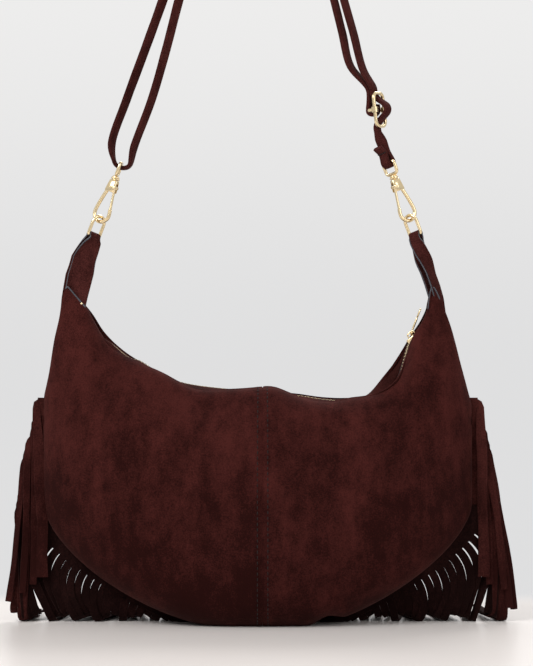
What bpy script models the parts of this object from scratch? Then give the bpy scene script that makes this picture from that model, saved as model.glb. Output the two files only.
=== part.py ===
"""Fringed suede shoulder bag with a curved zip mouth and a strap on two snap hooks.

Metres, +Z up, the bag stands on z = 0, its front faces -Y and its middle is at x = 0, y = 0.
"""

import math

import bmesh
import bpy
from mathutils import Matrix, Quaternion, Vector

MM = 0.001

# Clearance between touching pieces
GAP = 0.3 * MM

# How far a cutter runs past what it cuts
CUT_PAST = 1.0 * MM

# Bag body
BAG_WIDTH = 384 * MM
BAG_DEPTH = 126 * MM
SUEDE = 1.4 * MM
BASE_HALF_WIDTH = 38 * MM
CORNER_HEIGHT = 105 * MM
CORNER_ROUNDNESS = 1.55
SHOULDER_HEIGHT = 205 * MM
EAR_X = 170 * MM
SAG = 4 * MM
BACK_LIFT = 1.6 * MM
WIDEST_SHARE = 0.40
LOWER_FULLNESS = 3.0
SIDE_FULLNESS = 2.4
PANEL_COLUMNS = 11

# Zip mouth, an arc that hangs between the two top corners
MOUTH_RADIUS = 204 * MM
MOUTH_LOW_Z = 203 * MM
MOUTH_END_X = 150 * MM
MOUTH_HALF_DEPTH = 17 * MM
MOUTH_END_HALF_DEPTH = 7.2 * MM
MOUTH_TAPER_X = 100 * MM
FACING = 1.2 * MM
FACING_INNER = 6.5 * MM
FACING_LEAST = 0.8 * MM
TAPE = 0.6 * MM
TAPE_HALF_WIDTH = 14 * MM
TAPE_SPLIT = 0.8 * MM

# Zip chain
TOOTH_PITCH = 6.4 * MM
TOOTH_THICKNESS = 1.9 * MM
TOOTH_REACH = 1.1 * MM
TOOTH_CLEARANCE = 0.25 * MM
CORD_INNER = 2.0 * MM
CORD_OUTER = 3.0 * MM
CHAIN_END_X = 143 * MM
STOP_LENGTH = 3.0 * MM

# Zip slider and pull
SLIDER_X = 136.5 * MM
SLIDER_LENGTH = 14 * MM
SLIDER_WIDTH = 10.6 * MM
SLIDER_NOSE = 7.4 * MM
SLIDER_PLATE = 1.3 * MM
SLIDER_CLEARANCE = 0.4 * MM
BRIDGE_WIRE = 1.3 * MM
BRIDGE_HEIGHT = 4.2 * MM
BRIDGE_LENGTH = 7.0 * MM
PULL_LENGTH = 25 * MM
PULL_WIRE = 1.5 * MM
PULL_BAR = 1.8 * MM
PULL_EYE = 2.6 * MM
PULL_END_WIDTH = 5.5 * MM
PULL_END_LENGTH = 9 * MM
PULL_LEAN = math.radians(69)

# Fringe
FRINGE_THICKNESS = 1.2 * MM
STRAND_WIDTH = 6.2 * MM
STRAND_PITCH = 7.4 * MM
STRAND_LENGTH = 146 * MM
FRINGE_HEADER = 8.5 * MM
FRINGE_TUCK = 3.0 * MM
FRINGE_START_Z = 207 * MM
STRAND_LAYER = 1.75 * MM
TABLE_BEND = 10 * MM
HANG_OUT = 34 * MM

# Strap tabs and rings
TAB_THICKNESS = 1.5 * MM
TAB_WIDTH = 21 * MM
TAB_NECK = 8.4 * MM
TAB_TUCK_DEPTH = 13 * MM
TAB_X = 162 * MM
TAB_BOW = 5 * MM
TAB_SPREAD = 0.9 * MM
RING_WIRE = 3.0 * MM
RING_CORNER = 2.2 * MM
RING_WIDTH = 16 * MM
RING_HEIGHT = 21.5 * MM
RING_YAW = math.radians(-42)
RING_TILT = math.radians(21)

# Snap hooks
HOOK_WIRE = 3.4 * MM
HOOK_YAW = math.radians(27)
HOOK_LENGTH = 33 * MM
OPEN_PIVOT_GAP = 1.2 * MM
HOOK_HALF_WIDTH = 7.8 * MM
GATE_SPLIT = 20 * MM
BLOCK_WIDTH = 10.5 * MM
BLOCK_DEPTH = 5.6 * MM
BLOCK_TOP = 6.5 * MM
BLOCK_BOTTOM = 4.6 * MM
BLOCK_TAPER = 0.72
BLOCK_BEVEL = 0.8 * MM
SLOT_SIDE = 0.6 * MM
LEG_ROOT = (3.0 * MM, -2.0 * MM)
LEG_KNEE = (4.4 * MM, -6.5 * MM)
RIVET_RADIUS = 1.1 * MM
RIVET_OFFSET = 3.0 * MM
RIVET_HEAD_RADIUS = 1.9 * MM
RIVET_HEAD_HEIGHT = 0.6 * MM
GATE_THICKNESS = 2.4 * MM
GATE_WALL = 1.0 * MM
GATE_ARM = 2.25 * MM
POST_RADIUS = 1.4 * MM
POST_HEAD = 2.1 * MM
POST_HEAD_HEIGHT = 1.0 * MM
COLLAR_RADIUS = 4.2 * MM
COLLAR_HEIGHT = 3.4 * MM
COLLAR_SINK = 0.4 * MM
EYE_WIRE = 3.0 * MM
EYE_CORNER = 3.2 * MM
EYE_WIDTH = 16.5 * MM
EYE_HEIGHT = 14.5 * MM
LEFT_EYE_YAW = math.radians(88)
RIGHT_EYE_YAW = math.radians(-46)

# Strap
STRAP_WIDTH = 9 * MM
STRAP_THICKNESS = 3.6 * MM
STRAP_POINT_EVERY = 14 * MM
STRAP_BEND = 8.6 * MM

# Slider buckle on the strap
BUCKLE_WIRE = 3.2 * MM
BUCKLE_HEIGHT = 33 * MM
BUCKLE_WIDTH = 20 * MM
BUCKLE_YAW = math.radians(58)
BUCKLE_TILT = math.radians(-6)
BUCKLE_PLACE = Vector((105 * MM, 0, 461 * MM))
CROSSBAR_OUT = 6.5 * MM
CROSSBAR_WIRE = 3.0 * MM
CROSSBAR_START = 1.8 * MM
CROSSBAR_COLLAR = 5.0 * MM
CROSSBAR_COLLAR_WALL = 1.1 * MM
BUCKLE_CORNER = 5 * MM

MOUTH_CENTRE_Z = MOUTH_LOW_Z + MOUTH_RADIUS
SLOT_TOP = RIVET_RADIUS + GATE_WALL + GAP
SEAM_HALF = FRINGE_THICKNESS / 2 + GAP + SUEDE * 0.35


def clear_scene():
    for old in list(bpy.data.objects):
        bpy.data.objects.remove(old, do_unlink=True)


def new_collection(name):
    made = bpy.data.collections.new(name)
    bpy.context.scene.collection.children.link(made)
    return made


def principled(name, colour, roughness, metallic=0.0):
    material = bpy.data.materials.new(name)
    material.use_nodes = True
    shader = material.node_tree.nodes["Principled BSDF"]
    shader.inputs["Base Color"].default_value = (*colour, 1)
    shader.inputs["Roughness"].default_value = roughness
    shader.inputs["Metallic"].default_value = metallic
    material.diffuse_color = (*colour, 1)
    return material


clear_scene()
PARTS = new_collection("fringed_suede_bag")
CUTTERS = new_collection("cutters")

SUEDE_COLOUR = (0.062, 0.020, 0.017)
GOLD_COLOUR = (0.83, 0.62, 0.33)
TAPE_COLOUR = (0.045, 0.016, 0.014)


def suede(name):
    return principled(name, SUEDE_COLOUR, 0.95)


def gold(name):
    return principled(name, GOLD_COLOUR, 0.22, 1.0)


def place(obj, parent=None, collection=PARTS):
    """Link an object, with the parent that carries it."""
    collection.objects.link(obj)
    obj.parent = parent
    return obj


def mesh_object(name, vertices, faces, material, parent=None):
    mesh = bpy.data.meshes.new(name)
    mesh.from_pydata([tuple(v) for v in vertices], [], faces)
    mesh.materials.append(material)
    mesh.update()
    return place(bpy.data.objects.new(name, mesh), parent)


def solidify(obj, thickness):
    modifier = obj.modifiers.new("thickness", "SOLIDIFY")
    modifier.thickness = thickness
    modifier.offset = 0
    modifier.use_even_offset = True
    return obj


def sheet(name, rows, thickness, material, parent=None):
    """A sheet of material through rows of points, each row as long as the next."""
    across = len(rows[0])
    vertices = [point for row in rows for point in row]
    faces = [
        (i * across + j, i * across + j + 1, (i + 1) * across + j + 1, (i + 1) * across + j)
        for i in range(len(rows) - 1)
        for j in range(across - 1)
    ]
    return solidify(mesh_object(name, vertices, faces, material, parent), thickness)


def wire(name, points, diameter, material, parent=None, closed=False):
    """A round wire through points, as a mesh with its caps welded on."""
    curve = bpy.data.curves.new(name, "CURVE")
    curve.dimensions = "3D"
    spline = curve.splines.new("POLY")
    spline.points.add(len(points) - 1)
    for spot, point in zip(spline.points, points):
        spot.co = (*point, 1)
    spline.use_cyclic_u = closed
    curve.bevel_depth = diameter / 2
    curve.bevel_resolution = 2
    curve.use_fill_caps = True
    curve_object = bpy.data.objects.new(name + "_route", curve)
    bpy.context.scene.collection.objects.link(curve_object)
    evaluated = curve_object.evaluated_get(bpy.context.evaluated_depsgraph_get())
    mesh = bpy.data.meshes.new_from_object(evaluated)
    bpy.data.objects.remove(curve_object, do_unlink=True)
    weld(mesh)
    mesh.name = name
    mesh.materials.clear()
    mesh.materials.append(material)
    return place(bpy.data.objects.new(name, mesh), parent)


def weld(mesh):
    bm = bmesh.new()
    bm.from_mesh(mesh)
    bmesh.ops.remove_doubles(bm, verts=bm.verts, dist=0.01 * MM)
    bmesh.ops.recalc_face_normals(bm, faces=bm.faces)
    bm.to_mesh(mesh)
    bm.free()


def round_bar(name, radius, low, high, material, axis="Z", parent=None, sides=16, collection=PARTS):
    """A cylinder between two places on one local axis."""
    bm = bmesh.new()
    bmesh.ops.create_cone(
        bm, cap_ends=True, segments=sides, radius1=radius, radius2=radius, depth=high - low
    )
    bmesh.ops.translate(bm, verts=bm.verts, vec=(0, 0, (high + low) / 2))
    if axis == "Y":
        bmesh.ops.rotate(bm, verts=bm.verts, matrix=Matrix.Rotation(math.radians(-90), 3, "X"))
    mesh = bpy.data.meshes.new(name)
    bm.to_mesh(mesh)
    bm.free()
    mesh.materials.append(material)
    return place(bpy.data.objects.new(name, mesh), parent, collection)


def box(name, low, high, material, parent=None, collection=PARTS):
    bm = bmesh.new()
    bmesh.ops.create_cube(bm, size=1)
    size = Vector(high) - Vector(low)
    bmesh.ops.scale(bm, verts=bm.verts, vec=size)
    bmesh.ops.translate(bm, verts=bm.verts, vec=(Vector(high) + Vector(low)) / 2)
    mesh = bpy.data.meshes.new(name)
    bm.to_mesh(mesh)
    bm.free()
    mesh.materials.append(material)
    return place(bpy.data.objects.new(name, mesh), parent, collection)


def bevel(obj, width, segments=1):
    modifier = obj.modifiers.new("rounded edges", "BEVEL")
    modifier.width = width
    modifier.segments = segments
    modifier.limit_method = "ANGLE"
    return obj


def combine(obj, other, operation):
    """A Boolean that is applied, after which the other object is gone."""
    modifier = obj.modifiers.new(operation.lower(), "BOOLEAN")
    modifier.operation = operation
    modifier.object = other
    bpy.context.view_layer.update()
    evaluated = obj.evaluated_get(bpy.context.evaluated_depsgraph_get())
    mesh = bpy.data.meshes.new_from_object(evaluated)
    obj.modifiers.clear()
    obj.data = mesh
    bpy.data.objects.remove(other, do_unlink=True)
    return obj


def smooth(value):
    value = min(1.0, max(0.0, value))
    return value * value * (3 - 2 * value)


def mix(a, b, share):
    return a + (b - a) * share


def rounded_loop(width, height, points_per_end=7):
    """The middle line of an oval ring in the local XZ plane, with its centre at the origin."""
    radius = width / 2
    straight = height / 2 - radius
    loop = []
    for end, start in ((1, 0), (-1, math.pi)):
        for i in range(points_per_end):
            angle = start + math.pi * i / (points_per_end - 1)
            loop.append(Vector((radius * math.cos(angle), 0, end * straight + radius * math.sin(angle))))
    return loop


# The shape of the body

def seam_height(x):
    """Height of the bottom seam above the table at a distance from the middle."""
    share = (abs(x) - BASE_HALF_WIDTH) / (BAG_WIDTH / 2 - BASE_HALF_WIDTH)
    share = min(1.0, max(0.0, share))
    power = CORNER_ROUNDNESS
    return CORNER_HEIGHT * (1 - (1 - share**power) ** (1 / power))


def edge_height(x):
    """Height of the panels' lower edge, which sags onto the table near the middle."""
    share = min(1.0, abs(x) / (BAG_WIDTH / 2))
    return seam_height(x) - SAG * (1 - share * share) ** 4


def mouth_height(x, radius=MOUTH_RADIUS):
    return MOUTH_CENTRE_Z - math.sqrt(radius**2 - x**2)


EAR_HEIGHT = mouth_height(EAR_X)


def side_x(z):
    """Half width of the bag along its side seam."""
    lean = smooth((z - SHOULDER_HEIGHT) / (EAR_HEIGHT - SHOULDER_HEIGHT) * 0.75) / smooth(0.75)
    return mix(BAG_WIDTH / 2, EAR_X, lean)


def mouth_half_depth(x):
    """How far the panel's top edge lies from the zip's middle line."""
    x = abs(x)
    taper = smooth((x - MOUTH_TAPER_X) / (MOUTH_END_X - MOUTH_TAPER_X))
    half = mix(MOUTH_HALF_DEPTH, MOUTH_END_HALF_DEPTH, taper)
    ear = smooth((x - MOUTH_END_X) / (EAR_X - MOUTH_END_X))
    return mix(half, TAB_THICKNESS * 1.5 + GAP * 2 + SUEDE / 2, ear)


def panel_point(u, v, side):
    """A point of a half panel: u from the centre seam to the side, v from the bottom seam up."""
    x = mix(GAP / 2, side_x(mix(CORNER_HEIGHT, EAR_HEIGHT, v)), u)
    low = edge_height(u * BAG_WIDTH / 2) + SUEDE / 2
    high = mouth_height(min(u, 1) * EAR_X)
    widest = mix(low, high, WIDEST_SHARE)
    seam = mix(SEAM_HALF, mouth_half_depth(EAR_X), smooth((v - 0.75) * 4) * smooth(u * 8 - 7))
    rim = mouth_half_depth(u * EAR_X)
    bulge = (1 - u**SIDE_FULLNESS) ** 0.6
    depth = mix(seam, BAG_DEPTH / 2 - SUEDE / 2, bulge)
    if v < 0.5:
        turn = math.radians(90) * v / 0.5
        y = mix(seam, depth, math.sin(turn) ** (2 / LOWER_FULLNESS))
        z = mix(widest, low, math.cos(turn) ** (2 / LOWER_FULLNESS))
    else:
        turn = math.radians(90) * (v - 0.5) / 0.5
        y = mix(rim, max(depth, rim), math.cos(turn) ** 1.2)
        z = mix(widest, high, math.sin(turn))
    floor = SUEDE / 2 + (BACK_LIFT if side > 0 else 0)
    return Vector((x, side * y, max(z, floor)))


PANEL_ROWS = [0, 0.05, 0.12, 0.2, 0.3, 0.4, 0.5, 0.6, 0.7, 0.8, 0.88, 0.95, 1]


COLUMN_SHARES = [math.sin(math.radians(90) * i / (PANEL_COLUMNS - 1)) for i in range(PANEL_COLUMNS)]


def rim_half_depth(x):
    """The panel's top edge as it is built, straight between its columns."""
    share = min(1.0, abs(x) / EAR_X)
    for low, high in zip(COLUMN_SHARES, COLUMN_SHARES[1:]):
        if share <= high:
            break
    between = (share - low) / (high - low)
    return mix(mouth_half_depth(low * EAR_X), mouth_half_depth(high * EAR_X), between)


def make_half_panel(name, side, hand):
    rows = []
    for v in PANEL_ROWS:
        row = [panel_point(u, v, side) for u in COLUMN_SHARES]
        rows.append([Vector((hand * p.x, p.y, p.z)) for p in row])
    return sheet(name, rows, SUEDE, suede(name + "_suede"))


def make_panels():
    for face, side in (("front", -1), ("back", 1)):
        for edge, hand in (("left", -1), ("right", 1)):
            make_half_panel(f"{face}_panel_{edge}", side, hand)


# The mouth: facings, zip tapes and teeth, all on arcs round one centre

def on_arc(angle, y, radius):
    return Vector((radius * math.sin(angle), y, MOUTH_CENTRE_Z - radius * math.cos(angle)))


MOUTH_END_ANGLE = math.asin(MOUTH_END_X / MOUTH_RADIUS)
CHAIN_END_ANGLE = math.asin(CHAIN_END_X / MOUTH_RADIUS)
SLIDER_ANGLE = math.asin(SLIDER_X / MOUTH_RADIUS)
TAPE_RADIUS = MOUTH_RADIUS + FACING / 2 + GAP + TAPE / 2
TOOTH_RADIUS = TAPE_RADIUS - TAPE / 2 - GAP - TOOTH_THICKNESS / 2


def facing_outer(x):
    """The facing's outer edge lies flat against the panel's edge, or beside it where that stands up."""
    upright = smooth((abs(x) - MOUTH_TAPER_X) / (MOUTH_END_X - MOUTH_TAPER_X) * 2)
    return rim_half_depth(x) - mix(GAP * 1.5, SUEDE / 2 + GAP * 2, upright)


def arc_strip(name, inner, outer, side, radius, thickness, end_angle, material, steps=26):
    rows = []
    for i in range(steps + 1):
        angle = mix(-end_angle, end_angle, i / steps)
        x = radius * math.sin(angle)
        rows.append([on_arc(angle, side * inner(x), radius), on_arc(angle, side * outer(x), radius)])
    return sheet(name, rows, thickness, material)


def make_mouth():
    for face, side in (("front", -1), ("back", 1)):
        arc_strip(
            f"mouth_facing_{face}",
            lambda x: min(FACING_INNER, facing_outer(x) - FACING_LEAST),
            facing_outer,
            side,
            MOUTH_RADIUS,
            FACING,
            MOUTH_END_ANGLE - math.radians(1),
            suede(f"facing_{face}_suede"),
        )
        arc_strip(
            f"zip_tape_{face}",
            lambda x: TAPE_SPLIT / 2,
            lambda x: min(TAPE_HALF_WIDTH, rim_half_depth(x) - SUEDE),
            side,
            TAPE_RADIUS,
            TAPE,
            MOUTH_END_ANGLE - math.radians(1),
            principled(f"tape_{face}", TAPE_COLOUR, 0.85),
        )


def make_tooth_row(name, side, phase):
    """One row of teeth on its cord, as a comb that runs along the arc."""
    step = TOOTH_PITCH / TOOTH_RADIUS
    tooth = (TOOTH_PITCH / 2 - TOOTH_CLEARANCE) / TOOTH_RADIUS
    count = int(2 * CHAIN_END_ANGLE / step - 0.5)
    start = -count * step / 2 + phase * step
    vertices = []
    faces = []
    for i in range(count):
        for angle in (start + i * step, start + i * step + tooth):
            for y in (CORD_OUTER, CORD_INNER, -TOOTH_REACH):
                vertices.append(on_arc(angle, side * y, TOOTH_RADIUS))
        first = i * 6
        faces.append((first, first + 1, first + 4, first + 3))
        faces.append((first + 1, first + 2, first + 5, first + 4))
        if i:
            faces.append((first - 3, first - 2, first + 1, first))
    return solidify(mesh_object(name, vertices, faces, gold(name + "_metal")), TOOTH_THICKNESS)


def make_zip_stop(name, hand):
    """A clip over both cords just past the last tooth."""
    middle = hand * (CHAIN_END_ANGLE + (STOP_LENGTH / 2 + TOOTH_PITCH * 0.2) / TOOTH_RADIUS)
    rows = []
    for share in (-0.5, 0, 0.5):
        angle = middle + share * STOP_LENGTH / TOOTH_RADIUS
        rows.append([on_arc(angle, y, TOOTH_RADIUS) for y in (-CORD_OUTER, 0, CORD_OUTER)])
    return sheet(name, rows, TOOTH_THICKNESS, gold(name + "_metal"))


def slider_frame():
    """An empty at the middle of the mouth's arc, turned so that its X runs along the zip."""
    pivot = bpy.data.objects.new("slider_pivot", None)
    place(pivot)
    pivot.location = (0, 0, MOUTH_CENTRE_Z)
    pivot.rotation_euler = (0, -SLIDER_ANGLE, 0)
    return pivot


PLATE_LOW = -(TOOTH_RADIUS - TOOTH_THICKNESS / 2 - SLIDER_CLEARANCE)
PLATE_HIGH = PLATE_LOW + SLIDER_PLATE
BRIDGE_Z = PLATE_HIGH + BRIDGE_HEIGHT - BRIDGE_WIRE / 2


def make_slider(pivot):
    """A plate over the chain with a flange each side, and a bridge that holds the pull."""
    flange_low = -(TAPE_RADIUS - TAPE / 2 - GAP)
    outline = [
        (-SLIDER_LENGTH / 2, SLIDER_NOSE / 2 + 0.8 * MM),
        (-SLIDER_LENGTH * 0.15, SLIDER_WIDTH / 2 - 0.4 * MM),
        (SLIDER_LENGTH * 0.25, SLIDER_WIDTH / 2),
        (SLIDER_LENGTH / 2, SLIDER_WIDTH / 2 - 0.8 * MM),
    ]
    ring = outline + [(x, -y) for x, y in reversed(outline)]
    vertices = [(x, y, z) for z in (flange_low, PLATE_HIGH) for x, y in ring]
    size = len(ring)
    faces = [tuple(reversed(range(size))), tuple(range(size, 2 * size))]
    faces += [(i, (i + 1) % size, size + (i + 1) % size, size + i) for i in range(size)]
    slider = mesh_object("zip_slider", vertices, faces, gold("slider_metal"), pivot)
    weld(slider.data)
    channel = box(
        "slider_channel",
        (-SLIDER_LENGTH, -CORD_OUTER - SLIDER_CLEARANCE, flange_low - 1 * MM),
        (SLIDER_LENGTH, CORD_OUTER + SLIDER_CLEARANCE, PLATE_LOW),
        slider.data.materials[0],
        pivot,
        CUTTERS,
    )
    combine(slider, channel, "DIFFERENCE")
    half = BRIDGE_LENGTH / 2
    arch = [
        (-half, 0, PLATE_HIGH - 0.5 * MM),
        (-half, 0, BRIDGE_Z - 1.2 * MM),
        (-half + 1.2 * MM, 0, BRIDGE_Z),
        (half - 1.2 * MM, 0, BRIDGE_Z),
        (half, 0, BRIDGE_Z - 1.2 * MM),
        (half, 0, PLATE_HIGH - 0.5 * MM),
    ]
    bridge = wire("slider_bridge", arch, BRIDGE_WIRE, slider.data.materials[0], pivot)
    combine(slider, bridge, "UNION")
    return slider


def make_pull(pivot):
    """A thin bar with an eye round the bridge and an oval end, leaning against the bag's corner."""
    hinge = bpy.data.objects.new("pull_pivot", None)
    place(hinge, pivot)
    hinge.location = (0, 0, BRIDGE_Z - (BRIDGE_WIRE + PULL_WIRE) / 2 - GAP)
    hinge.rotation_euler = (0, SLIDER_ANGLE - PULL_LEAN, 0)
    material = gold("pull_metal")
    eye = [
        Vector((PULL_EYE * (1 + math.cos(a)), PULL_EYE * math.sin(a), 0))
        for a in [2 * math.pi * i / 12 for i in range(12)]
    ]
    pull = wire("zip_pull", eye, PULL_WIRE, material, hinge, closed=True)
    bar_start = 2 * PULL_EYE
    bar_end = PULL_LENGTH - PULL_END_LENGTH + PULL_WIRE / 2
    bar = wire("pull_bar", [(bar_start, 0, 0), (bar_end, 0, 0)], PULL_BAR, material, hinge)
    combine(pull, bar, "UNION")
    loop = rounded_loop(PULL_END_WIDTH - PULL_WIRE, PULL_END_LENGTH - PULL_WIRE, 5)
    middle = PULL_LENGTH - PULL_END_LENGTH / 2
    end = wire(
        "pull_end",
        [(middle + p.z, p.x, 0) for p in loop],
        PULL_WIRE,
        material,
        hinge,
        closed=True,
    )
    combine(pull, end, "UNION")
    return pull


def make_zip():
    make_tooth_row("zip_teeth_front", -1, 0)
    make_tooth_row("zip_teeth_back", 1, 0.5)
    make_zip_stop("zip_stop_left", -1)
    make_zip_stop("zip_stop_right", 1)
    pivot = slider_frame()
    make_slider(pivot)
    make_pull(pivot)


# The fringe

def seam_route():
    """The seam from the left shoulder round the bottom to the middle, with its length at each point."""
    points = []
    steps = 24
    for i in range(steps + 1):
        z = mix(FRINGE_START_Z, CORNER_HEIGHT, i / steps)
        points.append(Vector((-side_x(z), 0, z)))
    for i in range(1, 4 * steps + 1):
        turn = math.radians(90) * i / (4 * steps)
        x = -BAG_WIDTH / 2 * math.cos(turn)
        points.append(Vector((x, 0, edge_height(x) - GAP * 1.5 - FRINGE_THICKNESS / 2)))
    lengths = [0.0]
    for a, b in zip(points, points[1:]):
        lengths.append(lengths[-1] + (b - a).length)
    return points, lengths


SEAM_POINTS, SEAM_LENGTHS = seam_route()


def seam_at(distance):
    """Place and direction of the seam at a distance along it, for the left half and past the middle."""
    total = SEAM_LENGTHS[-1]
    if distance > total:
        place_there, along = seam_at(2 * total - distance)
        return Vector((-place_there.x, 0, place_there.z)), Vector((along.x, 0, -along.z))
    for i in range(len(SEAM_POINTS) - 1):
        if distance <= SEAM_LENGTHS[i + 1]:
            break
    a, b = SEAM_POINTS[i], SEAM_POINTS[i + 1]
    share = (distance - SEAM_LENGTHS[i]) / (SEAM_LENGTHS[i + 1] - SEAM_LENGTHS[i])
    return a.lerp(b, share), (b - a).normalized()


def arc_points(start, heading, target, radius, steps):
    """Points along a bend from one heading to another, each with its new heading."""
    angle = heading.angle(target)
    if angle < 0.02:
        return []
    side = (target - heading * heading.dot(target)).normalized()
    points = []
    for i in range(1, steps + 1):
        turn = angle * i / steps
        point = start + heading * radius * math.sin(turn) + side * radius * (1 - math.cos(turn))
        points.append((point, heading * math.cos(turn) + side * math.sin(turn), radius * turn))
    return points


DOWN = Vector((0, 0, -1))
BACK = Vector((0, 1, 0))


def low_strand(seam, outward, lie_z):
    """A strand whose seam is near the table: it bends straight back and lies down."""
    fall = -outward.z
    drop = max(0.0, seam.z - lie_z) / fall
    start = Vector(seam)
    used = 0.0
    path = []
    if drop > TABLE_BEND:
        used = drop - TABLE_BEND
        start = seam + outward * used
        path.append((Vector(start), used))
    lean = math.acos(1 - min(1.0, drop / TABLE_BEND))
    heading = BACK * math.cos(lean) + outward * math.sin(lean)
    for point, _, length in arc_points(start, heading, BACK, TABLE_BEND, 2):
        path.append((point, used + length))
    last, used = path[-1] if path else (start, 0.0)
    path.append((last + BACK * (STRAND_LENGTH + FRINGE_HEADER - used), STRAND_LENGTH + FRINGE_HEADER))
    return path


def hanging_strand(seam, outward, radius, layer, level, lie_z):
    """A strand that bends down beside the bag, and back along the table if it reaches it."""
    left = STRAND_LENGTH
    start = seam + outward * FRINGE_HEADER
    rows = []
    settle = max(radius * math.radians(40), abs(layer) * 2)
    steps = 3 if outward.angle(DOWN) > 0.8 else 2
    length = 0.0
    point = start
    for point, heading, length in arc_points(start, outward, DOWN, radius, steps):
        rows.append((point + BACK * layer * smooth(length / settle), heading))
    left -= length
    bend = TABLE_BEND - level * STRAND_LAYER
    fall = point.z - lie_z - bend
    if settle > length and settle - length < min(fall, left) - 4 * MM:
        for share in (0.5, 1):
            extra = (settle - length) * share
            rows.append((point + DOWN * extra + BACK * layer * smooth((length + extra) / settle), DOWN))
    if fall >= left:
        rows.append((point + DOWN * left + BACK * layer, DOWN))
        return rows
    corner = point + DOWN * fall + BACK * layer
    rows.append((corner, DOWN))
    left -= fall
    turned = arc_points(corner, DOWN, BACK, bend, 2)
    for spot, heading, length in turned:
        if length < left:
            rows.append((spot, heading))
    if left > turned[-1][2]:
        rows.append((turned[-1][0] + BACK * (left - turned[-1][2]), BACK))
    return rows


def strand_rows(index, distance, free):
    """The two edges of one strand from its tuck in the seam to its tip."""
    seam, along = seam_at(distance)
    outward = Vector((along.z, 0, -along.x))
    half = along * STRAND_WIDTH / 2
    hand = 1 if seam.x < 0 else -1
    crowded = STRAND_PITCH * abs(along.x) < STRAND_WIDTH + GAP
    level = (index - free) % 3 if crowded and index >= free else 0
    lie_z = FRINGE_THICKNESS / 2 + 0.05 * MM + level * STRAND_LAYER
    seam = Vector((seam.x, 0, max(seam.z, lie_z)))
    floor = FRINGE_THICKNESS / 2 + 0.05 * MM
    edges = [seam_at(distance + side * STRAND_WIDTH / 2)[0] for side in (-1, 1)]
    edges = [Vector((edge.x, 0, max(edge.z, floor))) for edge in edges]
    rows = [tuple(edge - outward * FRINGE_TUCK for edge in edges), tuple(edges)]
    if index < free:
        share = smooth(index / max(1, free - 1))
        radius = mix(STRAND_WIDTH * 0.8, HANG_OUT * 0.6, share)
        layer = STRAND_LAYER * (2 + (free - 1 - index) // 2) * (-1 if index % 2 == 0 else 1)
    else:
        radius = max(STRAND_WIDTH * 0.8, mix(HANG_OUT * 0.82, STRAND_WIDTH * 0.8, (index - free) / 8))
        layer = (level - 1) * STRAND_LAYER if crowded else 0
    reach = FRINGE_HEADER * -outward.z + radius * math.sin(outward.angle(DOWN)) + TABLE_BEND
    if seam.z - lie_z < reach:
        path = low_strand(seam, outward, lie_z)
        flat = path[max(0, len(path) - 2)][1]
        for point, length in path:
            across = along.lerp(Vector((1, 0, 0)), min(1, length / flat)).normalized() * STRAND_WIDTH / 2
            rows.append((point - across, point + across))
        return rows, 2
    start = seam + outward * FRINGE_HEADER
    rows.append((start - half, start + half))
    for point, heading in hanging_strand(seam, outward, radius, layer, level, lie_z):
        across = Vector((-heading.z, 0, heading.x))
        if across.length < 0.5:
            across = Vector((hand, 0, 0))
        across = Vector((abs(across.x), 0, across.z)) if outward.z > -0.999 else across
        across.normalize()
        rows.append((point - across * STRAND_WIDTH / 2, point + across * STRAND_WIDTH / 2))
    return rows, 3


def make_fringe_strip(name, strands):
    """One comb: strands that share a header, which is tucked into the seam."""
    vertices = []
    faces = []
    before = None
    for rows, header_rows in strands:
        first = len(vertices)
        for a, b in rows:
            vertices += [a, b]
        for i in range(len(rows) - 1):
            at = first + 2 * i
            faces.append((at, at + 1, at + 3, at + 2))
        if before is not None:
            start, rows_before = before
            for i in range(min(header_rows, rows_before) - 1):
                left = start + 2 * i
                right = first + 2 * i
                faces.append((left + 1, right, right + 2, left + 3))
        before = (first, header_rows)
    obj = mesh_object(name, vertices, faces, suede(name + "_suede"))
    return solidify(obj, FRINGE_THICKNESS)


BOTTOM_STRIP_HALF = 62 * MM


def make_fringe():
    total = SEAM_LENGTHS[-1]
    count = int(total / STRAND_PITCH)
    places = [total - STRAND_PITCH * (count - i - 0.5) for i in range(count)]
    free = sum(1 for d in places if seam_at(d)[0].z > STRAND_LENGTH)
    side, corner, bottom = [], [], []
    for i, distance in enumerate(places):
        seam = seam_at(distance)[0]
        rows = strand_rows(i, distance, free)
        if seam.z > CORNER_HEIGHT:
            side.append(rows)
        elif abs(seam.x) > BOTTOM_STRIP_HALF:
            corner.append(rows)
        else:
            bottom.append(rows)
    make_fringe_strip("fringe_left_side", side)
    make_fringe_strip("fringe_left_corner", corner)
    make_fringe_strip("fringe_right_side", mirrored(side))
    make_fringe_strip("fringe_right_corner", mirrored(corner))
    make_fringe_strip("fringe_bottom", bottom + mirrored(bottom))


def mirrored(strands):
    """The same strands on the other half of the bag, in order along the seam."""
    flipped = []
    for rows, header_rows in reversed(strands):
        turned = [(Vector((-b.x, b.y, b.z)), Vector((-a.x, a.y, a.z))) for a, b in rows]
        flipped.append((turned, header_rows))
    return flipped


# Strap tabs and rings

def pivot_empty(name, location, tilt=0.0, yaw=0.0, parent=None):
    """An empty whose Z leans by the tilt in the picture's plane, turned by the yaw about that Z."""
    empty = place(bpy.data.objects.new(name, None), parent)
    empty.matrix_local = (
        Matrix.Translation(location) @ Matrix.Rotation(tilt, 4, "Y") @ Matrix.Rotation(yaw, 4, "Z")
    )
    return empty


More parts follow.
